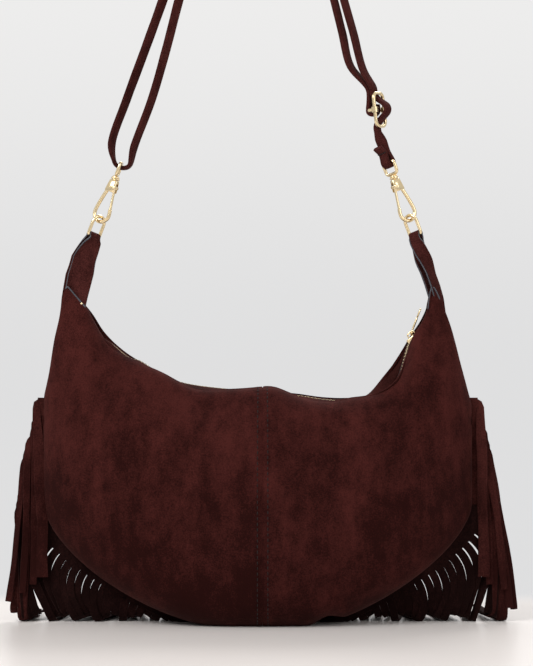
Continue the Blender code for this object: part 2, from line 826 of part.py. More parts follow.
def squared_loop(width, height, corner, base=0.0, steps=3):
    """The middle line of a rounded rectangular loop in the local XZ plane, from z = base up."""
    loop = []
    spots = [
        (width / 2 - corner, base + corner, -90),
        (width / 2 - corner, base + height - corner, 0),
        (-width / 2 + corner, base + height - corner, 90),
        (-width / 2 + corner, base + corner, 180),
    ]
    for x, z, start in spots:
        for i in range(steps + 1):
            angle = math.radians(start + 90 * i / steps)
            loop.append(Vector((x + corner * math.cos(angle), 0, z + corner * math.sin(angle))))
    return loop


def ring_loop():
    """A ring with a straight bar below and a round top."""
    width = RING_WIDTH - RING_WIRE
    height = RING_HEIGHT - RING_WIRE
    loop = []
    for side, start in ((1, -90), (-1, 180)):
        for i in range(4):
            angle = math.radians(start + 90 * i / 3)
            spot = Vector((side * (width / 2 - RING_CORNER), 0, RING_CORNER))
            loop.append(spot + Vector((math.cos(angle), 0, math.sin(angle))) * RING_CORNER)
        if side == 1:
            for i in range(9):
                angle = math.pi * i / 8
                x = width / 2 * math.cos(angle)
                loop.append(Vector((x, 0, height - width / 2 + width / 2 * math.sin(angle))))
    return loop


RING_REACH = RING_HEIGHT - RING_WIRE
RING_BARS = {
    "left": Vector((-152.3 * MM, 0, 347.4 * MM)),
    "right": Vector((137.8 * MM, 0, 348.4 * MM)),
}


def make_ring(name, hand):
    bar = RING_BARS[name]
    pivot = pivot_empty(f"ring_{name}_pivot", bar, -hand * RING_TILT, RING_YAW * hand)
    wire(f"ring_{name}", ring_loop(), RING_WIRE, gold(f"ring_{name}_metal"), pivot, closed=True)
    return pivot


def make_tab(name, hand):
    """A strip folded over the ring's bar, both ends tucked between the panels at the corner."""
    bar = RING_BARS[name]
    foot = Vector((hand * TAB_X, 0, EAR_HEIGHT - TAB_TUCK_DEPTH))
    lean = bar - foot
    turned = (Matrix.Rotation(-hand * RING_TILT, 3, "Y") @ Matrix.Rotation(RING_YAW * hand, 3, "Z"))
    turned = turned.to_quaternion()
    half_gap = TAB_THICKNESS / 2 + GAP
    around = RING_WIRE / 2 + GAP + TAB_THICKNESS / 2
    leg = []
    for share in (0, 0.14, 0.3, 0.46, 0.62, 0.76, 0.87, 0.95):
        bow = hand * TAB_BOW * math.sin(math.pi * share) * (1 - share * 0.3)
        spread = TAB_SPREAD * (1 - smooth((share - 0.12) / 0.2))
        offset = mix(half_gap, around, smooth((share - 0.8) / 0.2)) + spread
        turn = Quaternion().slerp(turned, smooth((share - 0.3) / 0.6))
        width = mix(TAB_WIDTH, TAB_NECK, smooth((share - 0.35) / 0.6))
        width *= mix(0.8, 1, min(1, share / 0.3))
        leg.append((foot + lean * share + Vector((bow, 0, 0)), offset, turn, width))
    rows = [tab_row(centre, -offset, 0, turn, width) for centre, offset, turn, width in leg]
    for angle in range(0, 181, 45):
        side, rise = -around * math.cos(math.radians(angle)), around * math.sin(math.radians(angle))
        rows.append(tab_row(bar, side, rise, turned, TAB_NECK))
    rows += [tab_row(centre, offset, 0, turn, width) for centre, offset, turn, width in reversed(leg)]
    return sheet(f"tab_{name}", rows, TAB_THICKNESS, suede(f"tab_{name}_suede"))


def tab_row(centre, offset, rise, turn, width):
    """Three points across the strip, at an offset out of its plane and a rise along it."""
    middle = centre + turn @ Vector((0, offset, rise))
    half = turn @ Vector((width / 2, 0, 0))
    return [middle - half, middle, middle + half]


# Snap hooks

HOOK_TO_RING = HOOK_LENGTH - HOOK_WIRE / 2 - RING_WIRE / 2 - OPEN_PIVOT_GAP
EYE_BAR = BLOCK_TOP + COLLAR_HEIGHT + GAP + EYE_HEIGHT - EYE_WIRE * 0.6


def hook_origin(name, hand):
    up = Vector((-hand * math.sin(RING_TILT), 0, math.cos(RING_TILT)))
    return RING_BARS[name] + up * (RING_REACH + HOOK_TO_RING)


def make_hook(name, hand, eye_yaw):
    origin = hook_origin(name, hand)
    tilt = -hand * RING_TILT
    metal = gold(f"hook_{name}_metal")
    eye_place = pivot_empty(f"hook_{name}_eye_place", origin, tilt, eye_yaw)
    make_hook_eye(name, metal, eye_place)
    swivel = pivot_empty(f"hook_{name}_swivel", origin, tilt, HOOK_YAW * hand)
    make_hook_frame(name, hand, metal, swivel)
    make_gate(name, hand, metal, swivel)


def make_hook_eye(name, metal, parent):
    """The loop for the strap, with a collar and a headed post that turns in the hook's block."""
    base = EYE_BAR - (EYE_HEIGHT - EYE_WIRE)
    loop = squared_loop(EYE_WIDTH - EYE_WIRE, EYE_HEIGHT - EYE_WIRE, EYE_CORNER, base)
    eye = wire(f"hook_{name}_eye", loop, EYE_WIRE, metal, parent, closed=True)
    collar_low = BLOCK_TOP + GAP
    collar = round_bar("collar", COLLAR_RADIUS, collar_low, base + COLLAR_SINK, metal, "Z", parent, 14)
    combine(eye, collar, "UNION")
    post = round_bar("post", POST_RADIUS, SLOT_TOP + 2 * GAP, base, metal, "Z", parent, 12)
    combine(eye, post, "UNION")
    head_low = SLOT_TOP + GAP
    head = round_bar("head", POST_HEAD, head_low, head_low + POST_HEAD_HEIGHT, metal, "Z", parent, 12)
    combine(eye, head, "UNION")
    return eye


def make_hook_frame(name, hand, metal, parent):
    """The block with one fixed leg that bends round into the bow, open where the gate closes it."""
    away = hand
    half = HOOK_HALF_WIDTH
    route = [
        (away * LEG_ROOT[0], LEG_ROOT[1]),
        (away * LEG_KNEE[0], LEG_KNEE[1]),
        (away * half * 0.86, -HOOK_LENGTH * 0.5),
        (away * half, -HOOK_LENGTH * 0.72),
        (away * half * 0.93, -HOOK_LENGTH * 0.85),
        (away * half * 0.62, -HOOK_LENGTH * 0.95),
        (away * half * 0.22, -HOOK_LENGTH),
        (-away * half * 0.22, -HOOK_LENGTH),
        (-away * half * 0.62, -HOOK_LENGTH * 0.95),
        (-away * half * 0.93, -HOOK_LENGTH * 0.85),
        (-away * half * 0.95, -HOOK_LENGTH * 0.74),
        (-away * half * 0.84, -GATE_SPLIT - GAP),
    ]
    frame = wire(f"hook_{name}_frame", [(x, 0, z) for x, z in route], HOOK_WIRE, metal, parent)
    block = hook_block(metal, parent)
    combine(frame, block, "UNION")
    slot_half = GATE_THICKNESS / 2 + GAP
    slot = box(
        "gate_slot",
        (-BLOCK_WIDTH, -slot_half, -BLOCK_BOTTOM - CUT_PAST),
        (BLOCK_WIDTH, slot_half, SLOT_TOP),
        metal,
        parent,
        CUTTERS,
    )
    for vertex in slot.data.vertices:
        if vertex.co.x * away > 0:
            vertex.co.x = away * SLOT_SIDE
    combine(frame, slot, "DIFFERENCE")
    head_top = SLOT_TOP + GAP + POST_HEAD_HEIGHT
    chamber_low = SLOT_TOP - GAP
    chamber = round_bar(
        "chamber", POST_HEAD + GAP, chamber_low, head_top + GAP, metal, "Z", parent, 12, CUTTERS
    )
    combine(frame, chamber, "DIFFERENCE")
    bore_high = BLOCK_TOP + CUT_PAST
    bore = round_bar("bore", POST_RADIUS + GAP, SLOT_TOP, bore_high, metal, "Z", parent, 12, CUTTERS)
    combine(frame, bore, "DIFFERENCE")
    reach = BLOCK_DEPTH / 2 + CUT_PAST
    rivet_hole = round_bar("rivet_hole", RIVET_RADIUS + GAP, -reach, reach, metal, "Y", parent, 12, CUTTERS)
    rivet_hole.location.x = -away * RIVET_OFFSET
    combine(frame, rivet_hole, "DIFFERENCE")
    return frame


def hook_block(metal, parent):
    """A block that widens downwards, with bevelled edges."""
    block = box(
        "block",
        (-BLOCK_WIDTH / 2, -BLOCK_DEPTH / 2, -BLOCK_BOTTOM),
        (BLOCK_WIDTH / 2, BLOCK_DEPTH / 2, BLOCK_TOP),
        metal,
        parent,
    )
    for vertex in block.data.vertices:
        if vertex.co.z > 0:
            vertex.co.x *= BLOCK_TAPER
    bevel(block, BLOCK_BEVEL)
    evaluated = block.evaluated_get(bpy.context.evaluated_depsgraph_get())
    mesh = bpy.data.meshes.new_from_object(evaluated)
    block.modifiers.clear()
    block.data = mesh
    return block


def make_gate(name, hand, metal, swivel):
    """The gate turns on a rivet in the block and closes on the tip of the bow."""
    away = hand
    hinge = pivot_empty(f"hook_{name}_gate_pivot", Vector((-away * RIVET_OFFSET, 0, 0)), parent=swivel)
    root_radius = RIVET_RADIUS + GATE_WALL
    gate = round_bar(
        f"hook_{name}_gate", root_radius, -GATE_THICKNESS / 2, GATE_THICKNESS / 2, metal, "Y", hinge, 14
    )
    tip = Vector((-away * (HOOK_HALF_WIDTH * 0.84 - RIVET_OFFSET), 0, -GATE_SPLIT))
    arm = wire("gate_arm", [tip * 0.1, tip], GATE_ARM, metal, hinge)
    combine(gate, arm, "UNION")
    through = GATE_THICKNESS / 2 + CUT_PAST
    hole = round_bar("gate_hole", RIVET_RADIUS + GAP, -through, through, metal, "Y", hinge, 12, CUTTERS)
    combine(gate, hole, "DIFFERENCE")
    reach = BLOCK_DEPTH / 2 + GAP * 2
    rivet = round_bar(f"hook_{name}_rivet", RIVET_RADIUS, -reach, reach, metal, "Y", hinge, 12)
    for side in (-1, 1):
        near = side * (BLOCK_DEPTH / 2 + GAP)
        far = near + side * RIVET_HEAD_HEIGHT
        low, high = min(near, far), max(near, far)
        head = round_bar("rivet_head", RIVET_HEAD_RADIUS, low, high, metal, "Y", hinge, 12)
        combine(rivet, head, "UNION")


# The strap and its slider buckle

def buckle_place():
    return (
        Matrix.Translation(BUCKLE_PLACE)
        @ Matrix.Rotation(BUCKLE_TILT, 4, "Y")
        @ Matrix.Rotation(BUCKLE_YAW, 4, "Z")
    )


def make_buckle():
    """An oval frame, and a bowed crossbar whose collars sit on the frame's legs."""
    metal = gold("buckle_metal")
    pivot = pivot_empty("buckle_place", BUCKLE_PLACE, BUCKLE_TILT, BUCKLE_YAW)
    width = BUCKLE_WIDTH - BUCKLE_WIRE
    height = BUCKLE_HEIGHT - BUCKLE_WIRE
    loop = squared_loop(width, height, BUCKLE_CORNER, -height / 2, 4)
    wire("buckle_frame", loop, BUCKLE_WIRE, metal, pivot, closed=True)
    half = width / 2
    route = [
        (-half, CROSSBAR_START, 0),
        (-half, CROSSBAR_OUT, 0),
        (half, CROSSBAR_OUT, 0),
        (half, CROSSBAR_START, 0),
    ]
    bar = wire("buckle_crossbar", route, CROSSBAR_WIRE, metal, pivot)
    radius = BUCKLE_WIRE / 2 + GAP + CROSSBAR_COLLAR_WALL
    end = CROSSBAR_COLLAR / 2
    for side in (-1, 1):
        collar = round_bar("collar", radius, -end, end, metal, "Z", pivot, 14)
        collar.location.x = side * half
        combine(bar, collar, "UNION")
    cut_end = end + CUT_PAST
    for side in (-1, 1):
        bore = round_bar("bore", BUCKLE_WIRE / 2 + GAP, -cut_end, cut_end, metal, "Z", pivot, 12, CUTTERS)
        bore.location.x = side * half
        combine(bar, bore, "DIFFERENCE")


def eye_place(name, hand, yaw):
    return (
        Matrix.Translation(hook_origin(name, hand))
        @ Matrix.Rotation(-hand * RING_TILT, 4, "Y")
        @ Matrix.Rotation(yaw, 4, "Z")
    )


def strap_route():
    """Points of the strap's middle line with the direction of its width, from its sewn end on."""
    right = eye_place("right", 1, RIGHT_EYE_YAW)
    left = eye_place("left", -1, LEFT_EYE_YAW)
    buckle = buckle_place()
    around = EYE_WIRE / 2 + GAP * 1.5 + STRAP_THICKNESS / 2
    beside = STRAP_THICKNESS / 2 + GAP
    route = []

    def add(frame, points):
        width = frame.to_3x3() @ Vector((1, 0, 0))
        for y, z in points:
            route.append((frame @ Vector((0, y, z)), width))

    def add_free(points, yaw_from, yaw_to):
        for i, (x, z) in enumerate(points):
            yaw = math.radians(mix(yaw_from, yaw_to, i / max(1, len(points) - 1)))
            place_there = Vector((x * MM, 0, z * MM))
            route.append((place_there, Vector((math.cos(yaw), math.sin(yaw), 0))))

    add(right, [(-beside * 3.1, EYE_BAR + 15 * MM), (-beside * 1.7, EYE_BAR + 11 * MM)])
    add(right, [(-beside, EYE_BAR + 8 * MM)])
    for angle in range(0, 181, 30):
        turn = math.radians(angle)
        add(right, [(-around * math.cos(turn), EYE_BAR - around * math.sin(turn))])
    add(right, [(beside, EYE_BAR + 8 * MM), (beside, EYE_BAR + 13 * MM)])
    out = BUCKLE_WIRE / 2 + GAP * 2 + STRAP_THICKNESS / 2
    end_bar = (BUCKLE_HEIGHT - BUCKLE_WIRE) / 2
    climb = [
        (-out, -end_bar - 5 * MM),
        (-out, -end_bar),
        (-out * 0.45, -end_bar + 3.9 * MM),
        (3.4 * MM, -6.6 * MM),
        (7.2 * MM, -3.4 * MM),
        (8.4 * MM, 0),
        (7.2 * MM, 3.4 * MM),
        (3.4 * MM, 6.6 * MM),
        (-out * 0.45, end_bar - 3.9 * MM),
        (-out, end_bar),
        (-out, end_bar + 5 * MM),
    ]
    add(buckle, [(-g, h) for g, h in climb])
    add_free([(90.2, 497), (81.5, 530), (73, 560), (62, 600), (45, 640), (18, 672)], 56, 48)
    add_free([(-8, 682), (-35, 674), (-61, 645), (-76, 600), (-89.8, 560)], 48, 48)
    add_free([(-106, 515), (-122.6, 470), (-136, 427)], 50, 86)
    bottom = EYE_BAR - around - GAP
    for angle in range(0, 181, 30):
        turn = math.radians(angle)
        add(left, [(STRAP_BEND * math.cos(turn), bottom + STRAP_BEND * (1 - math.sin(turn)))])
    add_free([(-115.5, 427), (-100, 470), (-87, 515), (-75.4, 560)], 86, 50)
    add_free([(-64, 600), (-51, 634), (-30, 660), (-8, 669)], 48, 48)
    add_free([(12, 661), (36, 633), (53, 600), (64, 560), (71.5, 530), (79, 500)], 48, 56)
    wrap = CROSSBAR_WIRE / 2 + GAP + STRAP_THICKNESS / 2
    second = -out - STRAP_THICKNESS - GAP * 2
    add(buckle, [(-second, end_bar + 5 * MM), (-second, end_bar - 5 * MM)])
    for angle in range(0, 181, 30):
        turn = math.radians(angle)
        add(buckle, [(CROSSBAR_OUT + wrap * math.cos(turn), -wrap * math.sin(turn))])
    add(buckle, [(CROSSBAR_OUT - wrap, 5 * MM)])
    return route


def smoothed(route):
    """Points along a smooth curve through the route's own points."""
    result = []
    count = len(route)
    for i in range(count - 1):
        before, start = route[max(0, i - 1)], route[i]
        end, after = route[i + 1], route[min(count - 1, i + 2)]
        steps = max(1, round((end[0] - start[0]).length / STRAP_POINT_EVERY))
        for j in range(steps):
            share = j / steps
            point = catmull(before[0], start[0], end[0], after[0], share)
            result.append((point, start[1].lerp(end[1], share).normalized()))
    result.append(route[-1])
    return result


def catmull(a, b, c, d, share):
    """Centripetal Catmull-Rom, so that close points make no loop."""
    times = [0.0]
    for p, q in ((a, b), (b, c), (c, d)):
        times.append(times[-1] + max((q - p).length, 1e-6) ** 0.5)
    t = mix(times[1], times[2], share)

    def between(p, q, low, high):
        return p * ((high - t) / (high - low)) + q * ((t - low) / (high - low))

    ab = between(a, b, times[0], times[1])
    bc = between(b, c, times[1], times[2])
    cd = between(c, d, times[2], times[3])
    abc = between(ab, bc, times[0], times[2])
    bcd = between(bc, cd, times[1], times[3])
    return between(abc, bcd, times[1], times[2])


def make_strap():
    points = smoothed(strap_route())
    rows = []
    for i, (point, across) in enumerate(points):
        ahead = points[min(i + 1, len(points) - 1)][0] - points[max(i - 1, 0)][0]
        across = across - ahead * across.dot(ahead) / ahead.dot(ahead)
        across.normalize()
        rows.append([point - across * STRAP_WIDTH / 2, point + across * STRAP_WIDTH / 2])
    return sheet("strap", rows, STRAP_THICKNESS, suede("strap_suede"))


make_panels()
make_mouth()
make_zip()
make_fringe()
for hand_name, hand_sign, eye_turn in (("left", -1, LEFT_EYE_YAW), ("right", 1, RIGHT_EYE_YAW)):
    make_ring(hand_name, hand_sign)
    make_tab(hand_name, hand_sign)
    make_hook(hand_name, hand_sign, eye_turn)
make_buckle()
make_strap()
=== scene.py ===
"""The looks of a fringed suede shoulder bag: suede, stitches, zip, polished hooks and a soft folded strap.

Metres, +Z up, front faces -Y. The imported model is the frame, and every piece lies where its node lies.
"""

import math

import bpy
from mathutils import Matrix, Quaternion, Vector, noise


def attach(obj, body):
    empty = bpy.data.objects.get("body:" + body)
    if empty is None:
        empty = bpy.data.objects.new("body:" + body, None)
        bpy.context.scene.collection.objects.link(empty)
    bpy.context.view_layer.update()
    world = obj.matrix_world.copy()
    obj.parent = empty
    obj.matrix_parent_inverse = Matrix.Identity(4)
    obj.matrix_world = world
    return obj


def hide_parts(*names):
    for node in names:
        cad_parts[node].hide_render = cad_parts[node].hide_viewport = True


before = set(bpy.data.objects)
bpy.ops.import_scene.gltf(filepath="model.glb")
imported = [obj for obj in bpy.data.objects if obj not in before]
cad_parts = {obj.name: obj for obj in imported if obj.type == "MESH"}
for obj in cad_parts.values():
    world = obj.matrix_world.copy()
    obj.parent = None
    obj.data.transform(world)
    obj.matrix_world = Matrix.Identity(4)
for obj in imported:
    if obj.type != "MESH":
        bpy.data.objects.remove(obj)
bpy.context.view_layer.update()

# The room: a level camera in front of the bag, a pale backdrop that brightens upwards, and soft
# light from above the left shoulder, so that the belly of the bag falls into its own shade.
MM = 0.001
EYE_DISTANCE = 2.2
EYE_HEIGHT = 0.26
EYE_ASIDE = 3.4 * MM
FRAME_HEIGHT = 0.5994

camera = bpy.data.objects.new("camera", bpy.data.cameras.new("camera"))
bpy.context.scene.collection.objects.link(camera)
camera.data.sensor_fit = "VERTICAL"
camera.data.angle = 2 * math.atan(FRAME_HEIGHT / 2 / EYE_DISTANCE)
camera.data.clip_end = 30
camera.location = (EYE_ASIDE, -EYE_DISTANCE, EYE_HEIGHT)
camera.rotation_euler = (math.radians(90), 0, 0)
bpy.context.scene.camera = camera
bpy.context.scene.view_settings.view_transform = "Standard"


class Value:
    """A socket that takes part in sums: each operation adds its Math node."""

    def __init__(self, tree, socket):
        self.tree = tree
        self.socket = socket

    def math(self, operation, first, second=0.0):
        node = self.tree.nodes.new("ShaderNodeMath")
        node.operation = operation
        for slot, value in zip(node.inputs, (first, second)):
            if isinstance(value, Value):
                self.tree.links.new(value.socket, slot)
            else:
                slot.default_value = value
        return Value(self.tree, node.outputs[0])

    def __add__(self, other):
        return self.math("ADD", self, other)

    def __radd__(self, other):
        return self.math("ADD", other, self)

    def __sub__(self, other):
        return self.math("SUBTRACT", self, other)

    def __rsub__(self, other):
        return self.math("SUBTRACT", other, self)

    def __mul__(self, other):
        return self.math("MULTIPLY", self, other)

    def __rmul__(self, other):
        return self.math("MULTIPLY", other, self)

    def __truediv__(self, other):
        return self.math("DIVIDE", self, other)

    def __pow__(self, other):
        return self.math("POWER", self, other)

    def at_least(self, other):
        return self.math("MAXIMUM", self, other)

    def at_most(self, other):
        return self.math("MINIMUM", self, other)

    def clamped(self):
        return self.at_least(0.0).at_most(1.0)


class Nodes:
    """One node tree: every node other than sums comes from make()."""

    def __init__(self, tree):
        self.tree = tree
        tree.nodes.clear()

    def make(self, kind, settings=None, inputs=None, output=0):
        node = self.tree.nodes.new(kind)
        for key, value in (settings or {}).items():
            setattr(node, key, value)
        for key, value in (inputs or {}).items():
            if isinstance(value, Value):
                self.tree.links.new(value.socket, node.inputs[key])
            else:
                node.inputs[key].default_value = value
        return Value(self.tree, node.outputs[output]) if node.outputs else None

    def blend(self, share, first, second):
        return self.make("ShaderNodeMix", {"data_type": "RGBA"}, {0: share, 6: first, 7: second}, 2)

    def cloud(self, place, scale, detail=2.0, roughness=0.5):
        inputs = {"Vector": place, "Scale": scale, "Detail": detail, "Roughness": roughness}
        return self.make("ShaderNodeTexNoise", None, inputs)

    def between(self, value, low, high):
        inputs = {"Value": value, "From Min": low, "From Max": high}
        return self.make("ShaderNodeMapRange", {"interpolation_type": "SMOOTHSTEP"}, inputs)


BACKDROP_LOW = (0.735, 0.735, 0.74, 1)
BACKDROP_HIGH = (0.86, 0.855, 0.85, 1)
SKY_LIGHT = 0.62
TABLE_LIGHT = 0.16

world = bpy.data.worlds.new("pale room")
world.use_nodes = True
bpy.context.scene.world = world
room = Nodes(world.node_tree)
direction = room.make("ShaderNodeTexCoord", output="Generated")
rise = room.make("ShaderNodeSeparateXYZ", None, {0: direction}, "Z")
seen = room.blend(room.between(rise, -0.036, 0.17), BACKDROP_LOW, BACKDROP_HIGH)
seen_strength = room.make("ShaderNodeBackground", None, {"Color": seen, "Strength": 1.0})
shade = room.between(rise, -0.2, 0.75)
lighting = room.blend(shade, (TABLE_LIGHT,) * 3 + (1,), (SKY_LIGHT,) * 3 + (1,))
unseen = room.make("ShaderNodeBackground", None, {"Color": lighting, "Strength": 1.0})
straight = room.make("ShaderNodeLightPath", output="Is Camera Ray")
mirrored = room.make("ShaderNodeLightPath", output="Is Glossy Ray")
through = room.make("ShaderNodeLightPath", output="Is Transmission Ray")
shown = (straight + mirrored * 0.8 + through).clamped()
sky = room.make("ShaderNodeMixShader", None, {0: shown, 1: unseen, 2: seen_strength})
room.make("ShaderNodeOutputWorld", None, {"Surface": sky})


def lamp(name, place, target, size, power, colour=(1, 1, 1)):
    light = bpy.data.lights.new(name, "AREA")
    light.shape = "RECTANGLE"
    light.size, light.size_y = size
    light.energy = power
    light.color = colour
    holder = bpy.data.objects.new(name, light)
    holder.location = place
    holder.rotation_euler = (Vector(target) - Vector(place)).to_track_quat("-Z", "Y").to_euler()
    bpy.context.scene.collection.objects.link(holder)


lamp("key_softbox", (-1.35, -1.5, 1.75), (-0.02, 0, 0.22), (1.3, 1.0), 36)
lamp("fill_softbox", (1.5, -1.5, 1.2), (0.05, 0, 0.2), (0.9, 1.2), 9)
lamp("back_softbox", (0.5, 1.3, 1.7), (0, 0, 0.3), (1.4, 0.7), 19)

TABLE_SIZE = 5.0
TABLE_BACK = 0.185
table_mesh = bpy.data.meshes.new("table")
table_mesh.from_pydata(
    [(x * TABLE_SIZE, y * TABLE_SIZE, 0) for x, y in ((-1, -1), (1, -1), (1, 1), (-1, 1))], [],
    [(0, 1, 2, 3)]
)
table = bpy.data.objects.new("table", table_mesh)
bpy.context.scene.collection.objects.link(table)
table_material = bpy.data.materials.new("pale_glossy_table")
table_material.use_nodes = True
board = Nodes(table_material.node_tree)
spot = board.make("ShaderNodeTexCoord", output="Object")
depth_back = board.make("ShaderNodeSeparateXYZ", None, {0: spot}, "Y")
worn = board.cloud(spot, 7.0, 3.0)
top_colour = board.blend(worn, (0.86, 0.80, 0.765, 1), (0.90, 0.845, 0.81, 1))
top = board.make(
    "ShaderNodeBsdfPrincipled",
    None,
    {"Base Color": top_colour, "Roughness": 0.34, "Specular IOR Level": 0.42},
)
beyond = board.make("ShaderNodeEmission", None, {"Color": BACKDROP_LOW, "Strength": 1.0})
past = board.between(depth_back, TABLE_BACK - 0.05, TABLE_BACK + 0.06)
surface = board.make("ShaderNodeMixShader", None, {0: past, 1: top, 2: beyond})
board.make("ShaderNodeOutputMaterial", None, {"Surface": surface})
table_mesh.materials.append(table_material)


# The body panels: four pieces of heavy suede, napped side out, sewn face to face down the middle and
# round the edge. They slump under their own weight, so the mouth sags and the lower edge spreads.
SUEDE = 1.4 * MM
BAG_HALF_WIDTH = 192 * MM
BAG_HALF_DEPTH = 63 * MM
BASE_HALF_WIDTH = 38 * MM
CORNER_HEIGHT = 105 * MM
CORNER_ROUNDNESS = 1.55
SHOULDER_HEIGHT = 205 * MM
EAR_X = 170 * MM
MOUTH_RADIUS = 204 * MM
MOUTH_CENTRE_Z = 407 * MM
MOUTH_HALF_DEPTH = 17 * MM
MOUTH_END_HALF_DEPTH = 7.2 * MM
MOUTH_TAPER_X = 100 * MM
MOUTH_END_X = 150 * MM
GAP = 0.3 * MM
SEAM_HALF = 1.4 * MM
SLUMP_LEFT = 4.5 * MM
SLUMP_AT_EAR = 7.5 * MM
PANEL_COLUMNS = 70
PANEL_ROWS = 76
SUEDE_WINE = (0.041, 0.0083, 0.0068)

# How far the front rim, the back rim and the zip hang below the arc between the two top corners, in
# millimetres at places across: the mouth sags most to the right of its middle.
FRONT_SAG = (
    (-178, -7), (-164.5, -4.4), (-161, 0), (-145, 7.7), (-130, 6.4), (-112, 3), (-92, 1), (-62, 3),
    (-30, -3), (-2, -7), (11, -6.6), (33, 4), (60, 15), (80, 20), (95, 26), (108, 31), (119.7, 33.6),
    (128.9, 32.8), (136, 24), (144.2, 14.1), (153.4, 11.3), (159.6, 5.9), (162.4, -6), (170, -6),
)
BACK_SAG = (
    (-178, -7), (-164, -4), (-150, 2), (-130, 4), (-107, 3), (-76, 3), (-34, -2), (0, -3), (30, 2), (55, 11),
    (75, 19), (99.7, 28.6), (119.2, 22.2), (131.7, 17.2), (142.2, 12), (153.4, 9), (159.6, 4), (162.4, -6),
    (170, -6),
)
CHAIN_SAG = (
    (-165, 14), (-158, 12), (-150, 9.5), (-143, 7), (-135, 5), (-120, 5), (-112, 1.5),
    (-102, 1.5), (-94, 4), (-76, 2), (-34, -3.2),
    (0, -2), (30, 2), (55, 11), (75, 19), (95, 26), (108, 31), (118, 30), (123, 28.5), (126, 24), (128.5, 13),
    (131, 2), (134, 0), (138, 0), (160, 0),
)


def smooth(value):
    value = min(1.0, max(0.0, value))
    return value * value * (3 - 2 * value)


def mix(a, b, share):
    return a + (b - a) * share


def hump(value):
    """1 in the middle, 0 from 1 away on, round at both."""
    return math.cos(min(1.0, abs(value)) * math.pi) / 2 + 0.5


def read_off(points, x):
    """The height of a smooth curve through given points at a place, all in millimetres."""
    x = min(points[-1][0], max(points[0][0], x))
    for i in range(len(points) - 1):
        if x <= points[i + 1][0]:
            break
    (x1, y1), (x2, y2) = points[i], points[i + 1]
    x0, y0 = points[max(0, i - 1)]
    x3, y3 = points[min(len(points) - 1, i + 2)]
    t = (x - x1) / (x2 - x1)
    slope_in = (y2 - y0) / (x2 - x0) * (x2 - x1)
    slope_out = (y3 - y1) / (x3 - x1) * (x2 - x1)
    return (
        (2 * t**3 - 3 * t**2 + 1) * y1
        + (t**3 - 2 * t**2 + t) * slope_in
        + (3 * t**2 - 2 * t**3) * y2
        + (t**3 - t**2) * slope_out
    )


def seam_height(x):
    share = (abs(x) - BASE_HALF_WIDTH) / (BAG_HALF_WIDTH - BASE_HALF_WIDTH)
    share = min(1.0, max(0.0, share))
    return CORNER_HEIGHT * (1 - (1 - share**CORNER_ROUNDNESS) ** (1 / CORNER_ROUNDNESS))


def edge_height(x):
    share = min(1.0, abs(x) / BAG_HALF_WIDTH)
    return seam_height(x) - 4 * MM * (1 - share * share) ** 4


def mouth_height(x, radius=MOUTH_RADIUS):
    return MOUTH_CENTRE_Z - math.sqrt(radius**2 - x**2)


EAR_HEIGHT = mouth_height(EAR_X)


def side_x(z):
    lean = smooth((z - SHOULDER_HEIGHT) / (EAR_HEIGHT - SHOULDER_HEIGHT) * 0.75) / smooth(0.75)
    return mix(BAG_HALF_WIDTH, EAR_X, lean)


def slump(x, z):
    """The whole bag leans a little to its left, more at the top corners."""
    return mix(SLUMP_LEFT, SLUMP_AT_EAR, smooth((z - SHOULDER_HEIGHT) / 0.09)) * smooth(abs(x) / 0.15)


def mouth_half_depth(x):
    x = abs(x)
    taper = smooth((x - MOUTH_TAPER_X) / (MOUTH_END_X - MOUTH_TAPER_X))
    half = mix(MOUTH_HALF_DEPTH, MOUTH_END_HALF_DEPTH, taper)
    return mix(half, 3.55 * MM, smooth((x - MOUTH_END_X) / (EAR_X - MOUTH_END_X)))


def ridge(x, z, start, end, width, height):
    """A soft fold along a line on the panel, highest in its middle, in millimetres."""
    line = Vector(end) - Vector(start)
    spot = Vector((x / MM, z / MM)) - Vector(start)
    share = min(1.0, max(0.0, spot.dot(line) / line.length_squared))
    away = (spot - line * share).length
    return height * MM * math.exp(-((away / width) ** 2)) * math.sin(math.pi * mix(0.08, 0.92, share))


FRONT_FOLDS = (
    ((152, 296), (139, 214), 5.5, 3.4),
    ((128, 250), (118, 196), 8, -2.6),
    ((-166, 286), (-150, 214), 9, 2.2),
    ((-140, 246), (-96, 168), 15, 1.9),
    ((-92, 214), (-30, 176), 13, -1.8),
    ((100, 190), (60, 130), 18, 1.7),
    ((30, 196), (92, 186), 8, 1.8),
    ((48, 40), (82, 14), 5, -3.4),
    ((84, 34), (112, 46), 8, 1.6),
    ((-150, 70), (-120, 120), 16, 1.8),
    ((150, 90), (120, 130), 16, 1.8),
)
BACK_FOLDS = (
    ((-150, 280), (-128, 200), 9, 2.4),
    ((150, 280), (128, 200), 9, 2.4),
    ((-90, 190), (-30, 150), 16, -1.6),
    ((90, 180), (40, 120), 18, 1.8),
)


def unevenness(x, z, seed):
    """Broad hollows and swellings that a soft bag has everywhere."""
    broad = noise.noise(Vector((x * 11, seed, z * 11)))
    middle = noise.noise(Vector((x * 27, seed + 5, z * 27)))
    return (broad * 3.4 + middle * 1.1) * MM


# How far the strap draws each top corner in, in millimetres at heights
CORNER_PULL = {
    -1: ((203, 0), (225, 3.6), (254, 5.6), (274, 6.8), (288, 5.2), (302, 2.6)),
    1: ((196, 0), (200, 1), (211, 3.6), (231, 6.8), (250, 8.2), (265, 8.8), (280, 10), (286, 11)),
}


def corner_pull(x, z):
    hand = 1 if x > 0 else -1
    return hand * read_off(CORNER_PULL[hand], z / MM) * MM * smooth(abs(x) / (110 * MM))


def rim_sag(x, side):
    points = FRONT_SAG if side < 0 else BACK_SAG
    return read_off(points, x / MM) * MM


